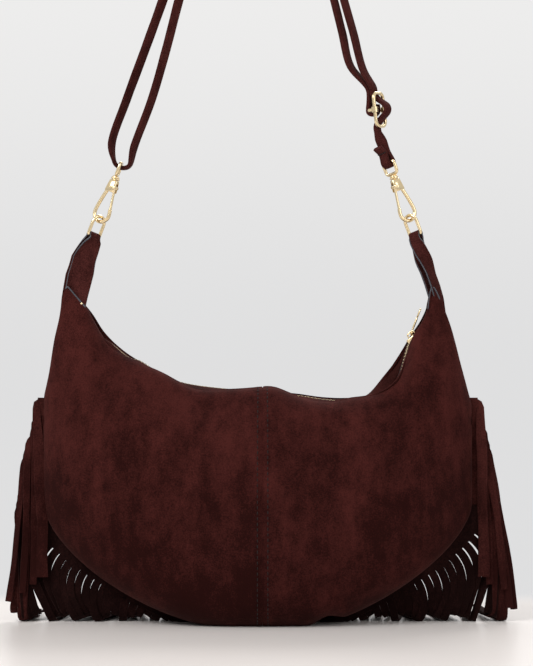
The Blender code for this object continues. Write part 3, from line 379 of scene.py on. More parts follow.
def body_point(u, v, side, hand):
    """A point of the half panel's middle surface, u from the seam to the side, v from the bottom up."""
    x = mix(GAP / 2, side_x(mix(CORNER_HEIGHT, EAR_HEIGHT, v)), u)
    low = edge_height(u * BAG_HALF_WIDTH) + SUEDE / 2
    high = mouth_height(u * EAR_X)
    widest = mix(low, high, 0.40)
    ear = smooth((v - 0.75) * 4) * smooth(u * 8 - 7)
    seam = mix(SEAM_HALF, mouth_half_depth(EAR_X), ear)
    rim = mouth_half_depth(u * EAR_X)
    bulge = (1 - u**2.4) ** 0.6
    depth = mix(seam, BAG_HALF_DEPTH - SUEDE / 2, bulge)
    if v < 0.5:
        turn = math.radians(90) * v / 0.5
        y = mix(seam, depth, math.sin(turn) ** (2 / 3.0))
        z = mix(widest, low, math.cos(turn) ** (2 / 3.0))
    else:
        turn = math.radians(90) * (v - 0.5) / 0.5
        y = mix(rim, max(depth, rim), math.cos(turn) ** 1.2)
        z = mix(widest, high, math.sin(turn))
    x *= hand
    x -= slump(x, z)
    drop = rim_sag(x, side) * smooth((v - 0.35) / 0.65)
    z -= drop
    inside = smooth(v * 5) * smooth((1 - u) * 7) * mix(0.35, 1, smooth((1 - v) * 6))
    folds = FRONT_FOLDS if side < 0 else BACK_FOLDS
    swell = sum(ridge(x, z, *fold) for fold in folds) + unevenness(x, z, 3.0 + side)
    y += swell * inside
    y -= 1.5 * MM * math.exp(-((x / (2.3 * MM)) ** 2)) * smooth(v * 6)
    if side < 0:
        z += 7 * MM * hump((x - 57 * MM) / (19 * MM)) * smooth(1 - v * 3.2)
    x -= corner_pull(x, z)
    floor = SUEDE / 2 + (1.6 * MM if side > 0 else 0)
    return Vector((x, side * max(y, SEAM_HALF), max(z, floor)))


def suede_finish(name, colour, nap=1.0):
    """Napped suede: cloudy shading where the nap lies another way, fibres, a soft sheen, and painted shade that
    darkens every piece towards the table.
    """
    material = bpy.data.materials.new(name)
    material.use_nodes = True
    kit = Nodes(material.node_tree)
    place = kit.make("ShaderNodeTexCoord", output="Object")
    stroked = kit.make("ShaderNodeMapping", None, {"Vector": place, "Scale": (1.0, 1.0, 0.55)})
    patches = kit.cloud(stroked, 21.0, 4.0, 0.62)
    strokes = kit.cloud(stroked, 95.0, 3.0, 0.6)
    fibres = kit.cloud(place, 750.0, 2.0, 0.65)
    fuzz = kit.cloud(place, 2400.0, 1.0)
    rise = kit.make("ShaderNodeSeparateXYZ", None, {0: place}, "Z")
    # Painted shade: the colour darkens below about 21 cm, standing in for the shade that the lower part of the
    # bag lies in.
    painted_shade_low = (1.0 - kit.between(rise, 0.0, 0.21)) * 0.50
    light = 0.56 + (patches - 0.5) * 2.3 * nap + (strokes - 0.5) * 1.5 * nap + (fibres - 0.5) * 1.9 - painted_shade_low
    deep = tuple(c * k for c, k in zip(colour, (0.42, 0.36, 0.36))) + (1,)
    high = tuple(c * k for c, k in zip(colour, (1.42, 1.50, 1.52))) + (1,)
    tone = kit.blend(light.clamped(), deep, high)
    height = fibres * 0.6 + fuzz * 0.4 + strokes * 0.5
    bump = kit.make("ShaderNodeBump", None, {"Height": height, "Strength": 0.55, "Distance": 0.5 * MM})
    shader = kit.make(
        "ShaderNodeBsdfPrincipled",
        None,
        {
            "Base Color": tone,
            "Roughness": 0.92,
            "Specular IOR Level": 0.06,
            "Sheen Weight": 0.07,
            "Sheen Roughness": 0.42,
            "Sheen Tint": (0.72, 0.36, 0.32, 1),
            "Normal": bump,
        },
    )
    kit.make("ShaderNodeOutputMaterial", None, {"Surface": shader})
    return material


def plain_object(name, vertices, faces, *materials):
    mesh = bpy.data.meshes.new(name)
    mesh.from_pydata([tuple(v) for v in vertices], [], faces)
    for material in materials:
        mesh.materials.append(material)
    mesh.shade_smooth()
    obj = bpy.data.objects.new(name, mesh)
    bpy.context.scene.collection.objects.link(obj)
    return obj


def grid_object(name, rows, *materials):
    """A sheet through rows of points."""
    wide = len(rows[0])
    vertices = [point for row in rows for point in row]
    faces = [
        (i * wide + j, i * wide + j + 1, (i + 1) * wide + j + 1, (i + 1) * wide + j)
        for i in range(len(rows) - 1)
        for j in range(wide - 1)
    ]
    return plain_object(name, vertices, faces, *materials)


def settled(obj):
    """The object with its modifiers worked into its mesh."""
    bpy.context.view_layer.update()
    evaluated = obj.evaluated_get(bpy.context.evaluated_depsgraph_get())
    mesh = bpy.data.meshes.new_from_object(evaluated)
    obj.modifiers.clear()
    obj.data = mesh
    return obj


def thickened(obj, thickness, rim_slot=0, offset=0.0):
    wall = obj.modifiers.new("wall", "SOLIDIFY")
    wall.thickness = thickness
    wall.offset = offset
    wall.use_even_offset = True
    wall.material_offset_rim = rim_slot
    settled(obj)
    obj.data.shade_smooth()
    obj.data.set_sharp_from_angle(angle=math.radians(50))
    return obj


def hand_over(obj, body, slot, *nodes):
    """The finished piece rides on its body and stands for its nodes."""
    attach(obj, body)
    if nodes:
        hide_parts(*nodes)
    return obj


panel_suede = suede_finish("panel_suede", SUEDE_WINE)
for face, side in (("front", -1), ("back", 1)):
    for edge, hand in (("left", -1), ("right", 1)):
        rows = []
        for i in range(PANEL_ROWS + 1):
            v = i / PANEL_ROWS
            row = []
            for j in range(PANEL_COLUMNS + 1):
                u = math.sin(math.radians(90) * j / PANEL_COLUMNS)
                row.append(body_point(u, v, side, hand))
            rows.append(row)
        for turn in (45, 90, 135):
            angle = math.radians(turn)
            row = []
            for point in rows[PANEL_ROWS]:
                roll = 1.3 * MM * smooth(abs(point.y) / (9 * MM))
                inwards = -side * roll * math.sin(angle) * 1.4
                row.append(point + Vector((0, inwards, roll * (math.sin(angle) * 0.6 - (turn > 90) * 1.2))))
            rows.append(row)
        if side * hand < 0:
            rows = [list(reversed(row)) for row in rows]
        panel = grid_object(f"{face}_{edge}_panel", rows, panel_suede)
        thickened(panel, SUEDE)
        hand_over(panel, "bag", "suede", f"{face}_panel_{edge}")


# The seams: the two front panels are stitched face to face down the middle and topstitched 4 mm each
# side with a dark thread. Each row is one line, repeated by nodes.
STITCH_PITCH = 4.8 * MM
STITCH_LENGTH = 3.4 * MM
THREAD = 1.15 * MM
TOPSTITCH_AWAY = 4.1 * MM


def flat_finish(name, colour, roughness, grain=0.25, scale=900.0):
    """A plain dyed or painted surface with a fine uneven grain."""
    material = bpy.data.materials.new(name)
    material.use_nodes = True
    kit = Nodes(material.node_tree)
    place = kit.make("ShaderNodeTexCoord", output="Object")
    grit = kit.cloud(place, scale, 2.0)
    dark = tuple(c * (1 - grain) for c in colour) + (1,)
    light = tuple(c * (1 + grain) for c in colour) + (1,)
    tone = kit.blend(kit.between(grit, 0.3, 0.7), dark, light)
    bump = kit.make("ShaderNodeBump", None, {"Height": grit, "Strength": 0.3, "Distance": 0.2 * MM})
    shader = kit.make(
        "ShaderNodeBsdfPrincipled",
        None,
        {"Base Color": tone, "Roughness": roughness, "Normal": bump},
    )
    kit.make("ShaderNodeOutputMaterial", None, {"Surface": shader})
    return material


def repeating_tree(name, pivot_axis):
    """Nodes that set one small piece along a line at an even pitch, turned the line's way."""
    tree = bpy.data.node_groups.new(name, "GeometryNodeTree")
    face = tree.interface
    face.new_socket("Line", in_out="INPUT", socket_type="NodeSocketGeometry")
    face.new_socket("Pitch", in_out="INPUT", socket_type="NodeSocketFloat")
    face.new_socket("Piece", in_out="INPUT", socket_type="NodeSocketObject")
    face.new_socket("Unevenness", in_out="INPUT", socket_type="NodeSocketFloat")
    face.new_socket("Seed", in_out="INPUT", socket_type="NodeSocketInt")
    face.new_socket("Finish", in_out="INPUT", socket_type="NodeSocketMaterial")
    face.new_socket("Geometry", in_out="OUTPUT", socket_type="NodeSocketGeometry")
    kit = Nodes(tree)
    given = {
        key: kit.make("NodeGroupInput", output=key) for key in (
            "Line", "Pitch", "Piece", "Unevenness", "Seed", "Finish"
        )
    }
    curve = kit.make("GeometryNodeMeshToCurve", None, {"Mesh": given["Line"]})
    even = kit.make(
        "GeometryNodeResampleCurve", {"mode": "LENGTH"}, {"Curve": curve, "Length": given["Pitch"]}
    )
    along = kit.make("GeometryNodeInputTangent")
    turn = kit.make(
        "FunctionNodeAlignRotationToVector", {"axis": "X", "pivot_axis": pivot_axis}, {"Vector": along}
    )
    piece = kit.make("GeometryNodeObjectInfo", None, {"Object": given["Piece"]}, "Geometry")
    least = 1.0 - given["Unevenness"]
    jitter = kit.make("FunctionNodeRandomValue", None, {2: least, 3: 1.0, "Seed": given["Seed"]}, 1)
    points = {"Points": even, "Instance": piece, "Rotation": turn, "Scale": jitter}
    pieces = kit.make("GeometryNodeInstanceOnPoints", None, points)
    real = kit.make("GeometryNodeRealizeInstances", None, {"Geometry": pieces})
    done = kit.make("GeometryNodeSetMaterial", None, {"Geometry": real, "Material": given["Finish"]})
    kit.make("NodeGroupOutput", None, {"Geometry": done})
    return tree


def repeated(name, tree, lines, piece, material, pitch, unevenness=0.0, seed=1):
    """An object made of one small piece repeated along lines of points."""
    vertices, edges = [], []
    for line in lines:
        first = len(vertices)
        vertices += [tuple(point) for point in line]
        edges += [(first + i, first + i + 1) for i in range(len(line) - 1)]
    mesh = bpy.data.meshes.new(name)
    mesh.from_pydata(vertices, edges, [])
    obj = bpy.data.objects.new(name, mesh)
    bpy.context.scene.collection.objects.link(obj)
    row = obj.modifiers.new("row", "NODES")
    row.node_group = tree
    values = {"Pitch": pitch, "Piece": piece, "Unevenness": unevenness, "Seed": seed, "Finish": material}
    for item in tree.interface.items_tree:
        if item.item_type == "SOCKET" and item.in_out == "INPUT" and item.name in values:
            row[item.identifier] = values[item.name]
    settled(obj)
    obj.data.shade_smooth()
    return obj


def lathe_points(profile, sides):
    """Rings of points round Z for a profile of (radius, height)."""
    turns = [2 * math.pi * i / sides for i in range(sides)]
    return [[Vector((r * math.cos(a), r * math.sin(a), z)) for a in turns] for r, z in profile]


def skin(rings, closed=False):
    """Vertices and faces of a skin over rings of points, with flat ends unless it is closed."""
    size = len(rings[0])
    vertices = [point for ring in rings for point in ring]
    faces = []
    for i in range(len(rings) if closed else len(rings) - 1):
        a, b = i * size, (i + 1) % len(rings) * size
        faces += [(a + j, a + (j + 1) % size, b + (j + 1) % size, b + j) for j in range(size)]
    if not closed:
        faces.append(tuple(reversed(range(size))))
        faces.append(tuple(range(len(vertices) - size, len(vertices))))
    return vertices, faces


def skinned(name, parts, *materials):
    """One object from several skins."""
    vertices, faces = [], []
    for part_vertices, part_faces in parts:
        first = len(vertices)
        vertices += part_vertices
        faces += [tuple(first + i for i in face) for face in part_faces]
    obj = plain_object(name, vertices, faces, *materials)
    obj.data.set_sharp_from_angle(angle=math.radians(42))
    return obj


def tube(points, radius, sides=16, closed=False, blunt=0.3):
    """A round wire through points. An open one has rounded ends. The radius may be one for each point."""
    points = [Vector(p) for p in points]
    count = len(points)
    radii = list(radius) if hasattr(radius, "__len__") else [radius] * count
    headings = []
    for i in range(count):
        if closed:
            ahead, behind = points[(i + 1) % count], points[i - 1]
        else:
            ahead, behind = points[min(i + 1, count - 1)], points[max(i - 1, 0)]
        headings.append((ahead - behind).normalized())
    normal = headings[0].orthogonal().normalized()
    frames = []
    for heading in headings:
        normal = (normal - heading * normal.dot(heading)).normalized()
        frames.append((normal.copy(), heading.cross(normal)))
    if closed:
        start, across = frames[0]
        last = (frames[-1][0] - headings[0] * frames[-1][0].dot(headings[0])).normalized()
        slip = math.atan2(last.dot(across), last.dot(start))
    rings = []
    for i, (point, (side, up)) in enumerate(zip(points, frames)):
        twist = -slip * i / count if closed else 0.0
        angles = [2 * math.pi * j / sides + twist for j in range(sides)]
        rings.append([point + (side * math.cos(a) + up * math.sin(a)) * radii[i] for a in angles])
    if not closed:
        for at, out in ((0, -1), (-1, 1)):
            middle, ring = points[at], rings[at]
            cap = [middle + (p - middle) * 0.72 + headings[at] * out * radii[at] * blunt for p in ring]
            if at == 0:
                rings.insert(0, cap)
            else:
                rings.append(cap)
    return skin(rings, closed)


def capsule(name, length, width):
    """A short bead lying along X, the shape of one stitch."""
    profile = [(0.0001, -0.5), (0.6, -0.42), (1.0, -0.2), (1.0, 0.2), (0.6, 0.42), (0.0001, 0.5)]
    rings = lathe_points([(r * width / 2, z * length) for r, z in profile], 6)
    vertices, faces = skin([[Vector((p.z, p.y, p.x * 0.8)) for p in reversed(ring)] for ring in rings])
    return plain_object(name, vertices, faces)


def outward_from(point_at, u, v, lift):
    """A point lifted off a surface given by a function of u and v."""
    here = point_at(u, v)
    across = point_at(u + 0.004, v) - here
    up = point_at(u, v + 0.004) - here
    normal = across.cross(up).normalized()
    if normal.y * here.y < 0:
        normal.negate()
    return here + normal * lift


thread = flat_finish("dark_thread", (0.0040, 0.0012, 0.0011), 0.95, scale=2200.0)
seam_rows = repeating_tree("stitches along a line", "AUTO")
stitch = capsule("one_stitch", STITCH_LENGTH, THREAD)
rows = []
for side, face in ((-1, "front"), (1, "back")):
    for hand in (-1, 1):
        line = []
        for i in range(150):
            v = mix(0.06, 0.985, i / 149)
            u = (TOPSTITCH_AWAY - GAP / 2) / EAR_X
            line.append(outward_from(lambda a, b: body_point(a, b, side, hand), u, v, SUEDE / 2 + 0.12 * MM))
        rows.append(line)
topstitching = repeated("centre_topstitching", seam_rows, rows, stitch, thread, STITCH_PITCH, 0.12, 3)
hand_over(topstitching, "bag", "suede")
bpy.data.objects.remove(stitch)


# The mouth: a strip of the same suede lines each side of the zip, stitched through with small dots.
# The woven tapes lie under the strips, and the whole zip sags with the mouth between the two corners.
FACING_INNER = 6.4 * MM
FACING_END_X = 160 * MM
FACING = 1.2 * MM
TAPE_RADIUS = 205.2 * MM
TAPE_HALF_WIDTH = 14 * MM
CHAIN_END_X = 143 * MM
DOT_PITCH = 3.1 * MM


# How steeply the mouth tips towards the front, as a slope, at places across
CHAIN_TIP = (
    (-160, 0), (60, 0), (90, 0.15), (105, 0.4), (118, 0.6), (124, 0.7), (128, 0.45), (131, 0.1), (134, 0),
    (160, 0)
)


def chain_height(x, radius=MOUTH_RADIUS):
    return mouth_height(x, radius) - read_off(CHAIN_SAG, x / MM) * MM


def tip(x, y):
    """How far a point in front of or behind the chain moves where the mouth tips to the front."""
    slope = math.atan2(chain_height(x + 1 * MM) - chain_height(x - 1 * MM), 2 * MM)
    return Vector((math.sin(slope), 0, -math.cos(slope))) * -y * read_off(CHAIN_TIP, x / MM)


def tipped(obj):
    for vertex in obj.data.vertices:
        vertex.co += tip(vertex.co.x, vertex.co.y)
    return obj


def mouth_point(x, y, drop=0.0):
    """A point of the mouth's surface: the zip's own sag in the middle, the rim's sag at the panel."""
    side = -1 if y < 0 else 1
    inner = chain_height(x)
    before = x + corner_pull(x, mouth_height(x))
    leaned = min(EAR_X, max(-EAR_X, before + slump(x, EAR_HEIGHT) * 0.8))
    outer = mouth_height(leaned) - rim_sag(before, side)
    half = mouth_half_depth(x)
    share = smooth((abs(y) - FACING_INNER) / max(half - FACING_INNER, 1 * MM))
    return Vector((x, y, mix(inner, outer, share) - drop)) + tip(x, y) * (1 - share)


facing_suede = suede_finish("facing_suede", (0.034, 0.0082, 0.0068), nap=0.8)
tape_weave = flat_finish("woven_tape", (0.040, 0.016, 0.014), 0.85, 0.35, 1500.0)
dot_lines = []
for face, side in (("front", -1), ("back", 1)):
    rows = []
    for i in range(141):
        x = mix(-FACING_END_X, FACING_END_X, i / 140)
        half = max(mouth_half_depth(x) - 0.4 * MM, FACING_INNER * 0.75)
        inner = min(FACING_INNER, half * 0.6)
        row = [mouth_point(x, side * inner, 1.4 * MM), mouth_point(x, side * inner, 0.15 * MM)]
        for k in range(7):
            y = mix(inner, half, k / 6)
            row.append(mouth_point(x, side * y, -0.35 * MM * math.sin(math.pi * k / 6)))
        rows.append(row if side < 0 else list(reversed(row)))
    facing = grid_object(f"facing_{face}", rows, facing_suede)
    thickened(facing, FACING)
    hand_over(facing, "bag", "suede", f"mouth_facing_{face}")
    for away in (1.6, 5.4):
        line = []
        for i in range(120):
            x = mix(-132 * MM, 132 * MM, i / 119)
            y = side * min(FACING_INNER + away * MM, mouth_half_depth(x) - 1.2 * MM)
            line.append(mouth_point(x, y, -FACING / 2 - 0.15 * MM))
        dot_lines.append(line)
    tape_rows = []
    for i in range(141):
        x = mix(-MOUTH_END_X, MOUTH_END_X, i / 140)
        wide = min(TAPE_HALF_WIDTH, mouth_half_depth(x) - 1.6 * MM)
        z = chain_height(x, TAPE_RADIUS) - 0.4 * MM
        row = [Vector((x, side * mix(0.8 * MM, wide, k / 4), z)) for k in range(5)]
        tape_rows.append(row if side < 0 else list(reversed(row)))
    tape = grid_object(f"tape_{face}", tape_rows, tape_weave)
    thickened(tipped(tape), 0.6 * MM)
    hand_over(tape, "bag", "zip_tape", f"zip_tape_{face}")
dot = capsule("one_dot", 1.7 * MM, 0.8 * MM)
dots = repeated("facing_stitches", seam_rows, dot_lines, dot, thread, DOT_PITCH, 0.15, 5)
hand_over(dots, "bag", "suede")
bpy.data.objects.remove(dot)


# The zip: a chain of fine gold teeth, gripped in pairs on the tapes' beaded edges, with a stop at each
# end. The slider has a shield-shaped plate with a bridge, and the thin pull hangs from the bridge.
GOLD = (0.80, 0.655, 0.41)
TOOTH_PITCH = 2.9 * MM
TOOTH_HEIGHT = 1.7 * MM
SLIDER_X = 136.5 * MM
SLIDER_TURN = math.asin(SLIDER_X / MOUTH_RADIUS)


def gold_finish(name, colour=GOLD, roughness=0.17):
    """Thin bright gold plate: hairline scratches and faint smudges change how sharply it mirrors."""
    material = bpy.data.materials.new(name)
    material.use_nodes = True
    kit = Nodes(material.node_tree)
    place = kit.make("ShaderNodeTexCoord", output="Object")
    smudge = kit.cloud(place, 160.0, 3.0)
    hairs = kit.cloud(place, 700.0, 2.0, 0.6)
    worn = tuple(c * k for c, k in zip(colour, (0.92, 0.88, 0.82))) + (1,)
    tone = kit.blend(kit.between(smudge, 0.35, 0.75), colour + (1,), worn)
    rough = roughness + (smudge - 0.42).at_least(0.0) * 0.25
    bump = kit.make("ShaderNodeBump", None, {"Height": hairs, "Strength": 0.035, "Distance": 0.02 * MM})
    shader = kit.make(
        "ShaderNodeBsdfPrincipled",
        None,
        {"Base Color": tone, "Metallic": 1.0, "Roughness": rough, "Normal": bump},
    )
    kit.make("ShaderNodeOutputMaterial", None, {"Surface": shader})
    return material


def prism(outline, low, high, chamfer=0.0):
    """A skin over an outline in the XY plane between two heights, its edges chamfered."""
    middle = Vector((sum(x for x, _ in outline) / len(outline), sum(y for _, y in outline) / len(outline), 0))
    rings = []
    for z, shrink in ((low, chamfer), (low + chamfer, 0), (high - chamfer, 0), (high, chamfer)):
        ring = []
        for x, y in outline:
            spot = Vector((x, y, 0))
            inward = (middle - spot).normalized() * shrink
            ring.append(Vector((spot.x + inward.x, spot.y + inward.y, z)))
        rings.append(ring)
    return skin(rings if chamfer else [rings[0], rings[-1]])


def moved(matrix, parts):
    return [([matrix @ v for v in vertices], faces) for vertices, faces in parts]


zip_gold = gold_finish("zip_gold", roughness=0.22)
tooth_rows = repeating_tree("teeth along a line", "Y")
tooth_z = TOOTH_HEIGHT / 2
for face, side, phase in (("front", -1, 0.0), ("back", 1, 0.5)):
    outline = [
        (-0.4, -0.85), (0.4, -0.85), (0.7, -0.3), (0.5, 0.6), (0.7, 1.5), (0.7, 2.5), (-0.7, 2.5),
        (-0.7, 1.5), (-0.5, 0.6), (-0.7, -0.3)
    ]
    outline = [(x * MM, y * MM * side) for x, y in outline]
    tooth = skinned(
        "one_tooth",
        [prism(outline if side > 0 else list(reversed(outline)), -tooth_z, tooth_z, 0.12 * MM)]
    )
    line = []
    for i in range(200):
        x = mix(-CHAIN_END_X, CHAIN_END_X, i / 199) + phase * TOOTH_PITCH * 0.75
        line.append(Vector((x, 0, chain_height(x, TAPE_RADIUS) + 1.3 * MM)))
    teeth = repeated(f"teeth_{face}", tooth_rows, [line], tooth, zip_gold, TOOTH_PITCH)
    hand_over(tipped(teeth), "bag", "gold", f"zip_teeth_{face}")
    bpy.data.objects.remove(tooth)
for end, hand in (("left", -1), ("right", 1)):
    x = hand * (CHAIN_END_X + 2.0 * MM)
    z = chain_height(x, TAPE_RADIUS)
    slope = math.atan2(chain_height(x + 1 * MM) - chain_height(x - 1 * MM), 2 * MM)
    outline = [
        (-1.4, -2.4), (1.4, -2.4), (1.8, -1.2), (1.8, 1.2), (1.4, 2.4), (-1.4, 2.4), (-1.8, 1.2),
        (-1.8, -1.2)
    ]
    block = prism([(a * MM, b * MM) for a, b in outline], 0.1 * MM, 2.3 * MM, 0.35 * MM)
    there = Matrix.Translation((x, 0, z)) @ Matrix.Rotation(-slope, 4, "Y")
    stop = skinned(f"stop_{end}", moved(there, [block]), zip_gold)
    hand_over(stop, "bag", "gold", f"zip_stop_{end}")

PLATE_LOW = -202.3 * MM
PLATE_HIGH = -201.0 * MM
FLANGE_LOW = -204.6 * MM
BRIDGE_Z = -197.45 * MM
slider_place = Matrix.Translation((0, 0, MOUTH_CENTRE_Z)) @ Matrix.Rotation(-SLIDER_TURN, 4, "Y")
half_outline = [
    (-7.0, 3.9), (-5.2, 4.5), (-2.1, 4.9), (1.0, 5.2), (3.5, 5.3), (5.6, 5.1), (6.7, 4.4), (7.0, 3.4)
]
outline = [(x * MM, -y * MM) for x, y in half_outline] + [(x * MM, y * MM) for x, y in reversed(half_outline)]
plate = prism(outline, PLATE_LOW, PLATE_HIGH, 0.35 * MM)
walls = []
for side in (-1, 1):
    inner = [(x * MM, side * 3.5 * MM) for x, _ in reversed(half_outline)]
    outer = [(x * MM, side * max(y, 3.9) * MM) for x, y in half_outline]
    ring = outer + inner
    walls.append(prism(ring if side < 0 else list(reversed(ring)), FLANGE_LOW, PLATE_LOW + 0.3 * MM))
arch = []
for i in range(19):
    a = math.pi * i / 18
    arch.append(Vector((-3.5 * MM * math.copysign(abs(math.cos(a)) ** 0.55, math.cos(a)), 0,
                        PLATE_HIGH - 0.4 * MM + (BRIDGE_Z - PLATE_HIGH + 0.4 * MM) * math.sin(a) ** 0.5)))
slider = skinned("slider", moved(slider_place, [plate] + walls + [tube(arch, 0.66 * MM, 12)]), zip_gold)
hand_over(slider, "zip_slider", "gold", "zip_slider")

PULL_LEAN = math.radians(69)
PULL_LENGTH = 25 * MM
pull_hinge = Matrix.Translation((133.255 * MM, 0, 259 * MM)) @ Matrix.Rotation(-PULL_LEAN, 4, "Y")
eye = [
    Vector(
        (2.6 * MM * (1 + math.cos(a)), 2.6 * MM * math.sin(a), 0)
    ) for a in [math.pi * i / 14 for i in range(28)]
]
bar = [Vector((x * MM, 0, 0)) for x in (5.0, 6.0, 8.0, 11.0, 14.0, 16.2)]
oval = []
for i in range(36):
    a = 2 * math.pi * i / 36
    reach = 3.75 * MM * math.copysign(abs(math.cos(a)) ** 0.8, math.cos(a))
    oval.append(Vector((PULL_LENGTH - 4.5 * MM + reach, 2.0 * MM * math.sin(a), 0)))
pull_parts = [
    tube(eye, 0.75 * MM, 12, True),
    tube(bar, [0.8 * MM, 0.9 * MM, 1.0 * MM, 1.0 * MM, 0.9 * MM, 0.8 * MM], 12),
    tube(oval, 0.75 * MM, 12, True)
]
pull = skinned("pull", moved(pull_hinge, pull_parts), gold_finish("pull_gold"))
hand_over(pull, "zip_pull", "gold", "zip_pull")


# The fringe: one long comb of suede for each stretch of the seam, its uncut edge sewn in and cut into
# strands up to 4 mm from the stitches. Strands bend down beside the bag and lie back on the table.
STRAND_WIDTH = 6.2 * MM
STRAND_PITCH = 7.4 * MM
STRAND_LENGTH = 146 * MM
STRAND = 1.2 * MM
FRINGE_START_Z = 207 * MM
LAYER = 1.75 * MM
TABLE_BEND = 9 * MM
BOTTOM_HALF = 62 * MM
MARCH = 3.6 * MM


def seam_points():
    points = []
    for i in range(25):
        z = mix(FRINGE_START_Z, CORNER_HEIGHT, i / 24)
        points.append(Vector((-side_x(z), 0, z)))
    for i in range(1, 97):
        x = -BAG_HALF_WIDTH * math.cos(math.radians(90) * i / 96)
        points.append(Vector((x, 0, edge_height(x) - GAP * 1.5 - STRAND / 2)))
    return points


SEAM = seam_points()
SEAM_LENGTHS = [0.0]
for one, two in zip(SEAM, SEAM[1:]):
    SEAM_LENGTHS.append(SEAM_LENGTHS[-1] + (two - one).length)


def seam_at(distance):
    """Place and direction of the left half's seam at a distance from its top."""
    distance = min(distance, SEAM_LENGTHS[-1])
    for i in range(len(SEAM) - 1):
        if distance <= SEAM_LENGTHS[i + 1]:
            break
    a, b = SEAM[i], SEAM[i + 1]
    share = (distance - SEAM_LENGTHS[i]) / (SEAM_LENGTHS[i + 1] - SEAM_LENGTHS[i])
    return a.lerp(b, share), (b - a).normalized()


def chance(index, kind, seed=0.0):
    """A fixed pseudo-random number from -1 to 1 for a strand."""
    return math.modf(math.sin(index * 12.9898 + kind * 78.233 + seed * 37.719) * 43758.5453)[0]


def header_reach(z):
    """How far the uncut strip stands out of the seam: most at the bag's lower corners."""
    if z > CORNER_HEIGHT:
        return mix(6.0, 13.0, smooth((150 * MM - z) / (45 * MM))) * MM
    return mix(4.5, 13.0, smooth((z - 30 * MM) / (70 * MM))) * MM


def strand_path(index, distance, hand, free):
    """The middle line of a strand with the direction of its width at each point."""
    seam, along = seam_at(distance)
    outward = Vector((along.z, 0, -along.x)).normalized()
    low = 1.0 - seam.z / CORNER_HEIGHT
    on_side = index < free
    share = smooth(index / max(1, free - 1))
    if on_side:
        radius = mix(4.5 * MM, 17 * MM, share) * (1 + 0.22 * chance(index, 1, hand))
        layer = LAYER * (1.5 + (free - 1 - index) // 3) * (-1 if index % 2 == 0 else 1)
        lean = mix(0.0, 0.118, share) + 0.03 * chance(index, 2, hand)
    else:
        radius = mix(13 * MM, 34 * MM, smooth(low * 5)) * (1 + 0.1 * chance(index, 1, hand))
        layer = LAYER * 1.2 * chance(index, 3, hand)
        lean = mix(-0.42, 0.04, smooth(1 - low * 3)) + 0.05 * chance(index, 2, hand)
    lie_z = STRAND / 2 + 0.1 * MM + LAYER * (index % 4) * (0 if low > 0.93 else 1)
    goal = Vector((-math.sin(lean), 0, -math.cos(lean)))
    sideways = (
        0.10 if on_side else 0.22 * (1 - low)
    ) + 0.25 * chance(index, 4, hand) * (1 if low < 0.9 else 0.3)
    rest = Vector((sideways, 1, 0)).normalized()
    point = Vector((seam.x, 0, max(seam.z, lie_z))) + outward * (header_reach(seam.z) - 1.5 * MM)
    point.z = max(point.z, lie_z)
    heading = outward.copy()
    flat = heading.z > -0.2 and seam.z < 30 * MM
    left = STRAND_LENGTH + (12 if index == 0 else 4) * MM + 5 * MM * chance(index, 5, hand)
    path = []
    walked = 0.0
    down = seam.z - lie_z < TABLE_BEND or flat
    while left > 0:
        wander = noise.noise(Vector((index * 3.7, walked * 16, hand * 9)))
        swing = noise.noise(Vector((index * 5.1 + 40, walked * 13, hand * 7)))
        shift = Vector((wander * 2.4 * MM, layer + swing * 2.0 * MM, 0)) * smooth(walked / 0.05)
        if down:
            shift.z = 0
        path.append((point + shift, heading.copy(), walked))
        step = min(MARCH, left)
        if not down and point.z - lie_z <= TABLE_BEND * max(0.15, -heading.z):
            down = True
        aim = rest if down else goal
        bend = TABLE_BEND if down else radius
        angle = heading.angle(aim)
        if angle > 1e-4:
            heading = heading.slerp(aim, min(1.0, step / bend / angle))
        point = point + heading * step
        if point.z < lie_z:
            point.z = lie_z
            heading = Vector((heading.x, heading.y, 0)).normalized()
            if heading.y < 0.1:
                heading = Vector((heading.x, 0.1, 0)).normalized()
        walked += step
        left -= step
    return path


def strand_skin(index, distance, hand, free):
    path = strand_path(index, distance, hand, free)
    _, along = seam_at(distance)
    across = Vector((along.x, 0, along.z))
    curl = 0.75 * chance(index, 6, hand)
    rings = []
    for i, (point, heading, walked) in enumerate(path):
        across = (across - heading * across.dot(heading)).normalized()
        if walked > 0.012:
            level = Vector((1, 0, 0))
            level = level - heading * level.dot(heading)
            if level.length > 0.3:
                level.normalize()
                if level.dot(across) < 0:
                    level.negate()
                across = across.slerp(level, 0.25)
        lying = heading.y > 0.6
        turn = 0.0 if lying else curl * smooth(walked / 0.09) * (1 - smooth((walked - 0.10) / 0.05))
        wide = across.copy()
        wide.rotate(Quaternion(heading, turn))
        thin = heading.cross(wide).normalized()
        width = STRAND_WIDTH if index < free else STRAND_PITCH + 0.1 * MM
        if index == 0:
            width = mix(6.5 * MM, 10 * MM, smooth(walked / 0.05))
        half = width / 2 * (1 + 0.05 * math.sin(walked * 90 + index))
        cup = 0.9 * MM * chance(index, 7, hand) * smooth(walked / 0.02)
        deep = STRAND / 2
        corners = (
            (-1, -0.45), (-1, 0.45), (-0.93, 1), (0, 1.0), (0.93, 1), (1, 0.45), (1, -0.45), (0.93, -1),
            (0, -1.0), (-0.93, -1)
        )
        ring = []
        for a, b in corners:
            spot = point + wide * half * a + thin * (deep * b + cup * a * a)
            spot.x *= -hand
            spot.x -= slump(spot.x, seam_at(distance)[0].z) * (1 - smooth(walked / 0.12))
            spot.z = max(spot.z, 0.05 * MM)
            ring.append(spot)
        rings.append(ring if hand > 0 else list(reversed(ring)))
    return skin(rings)


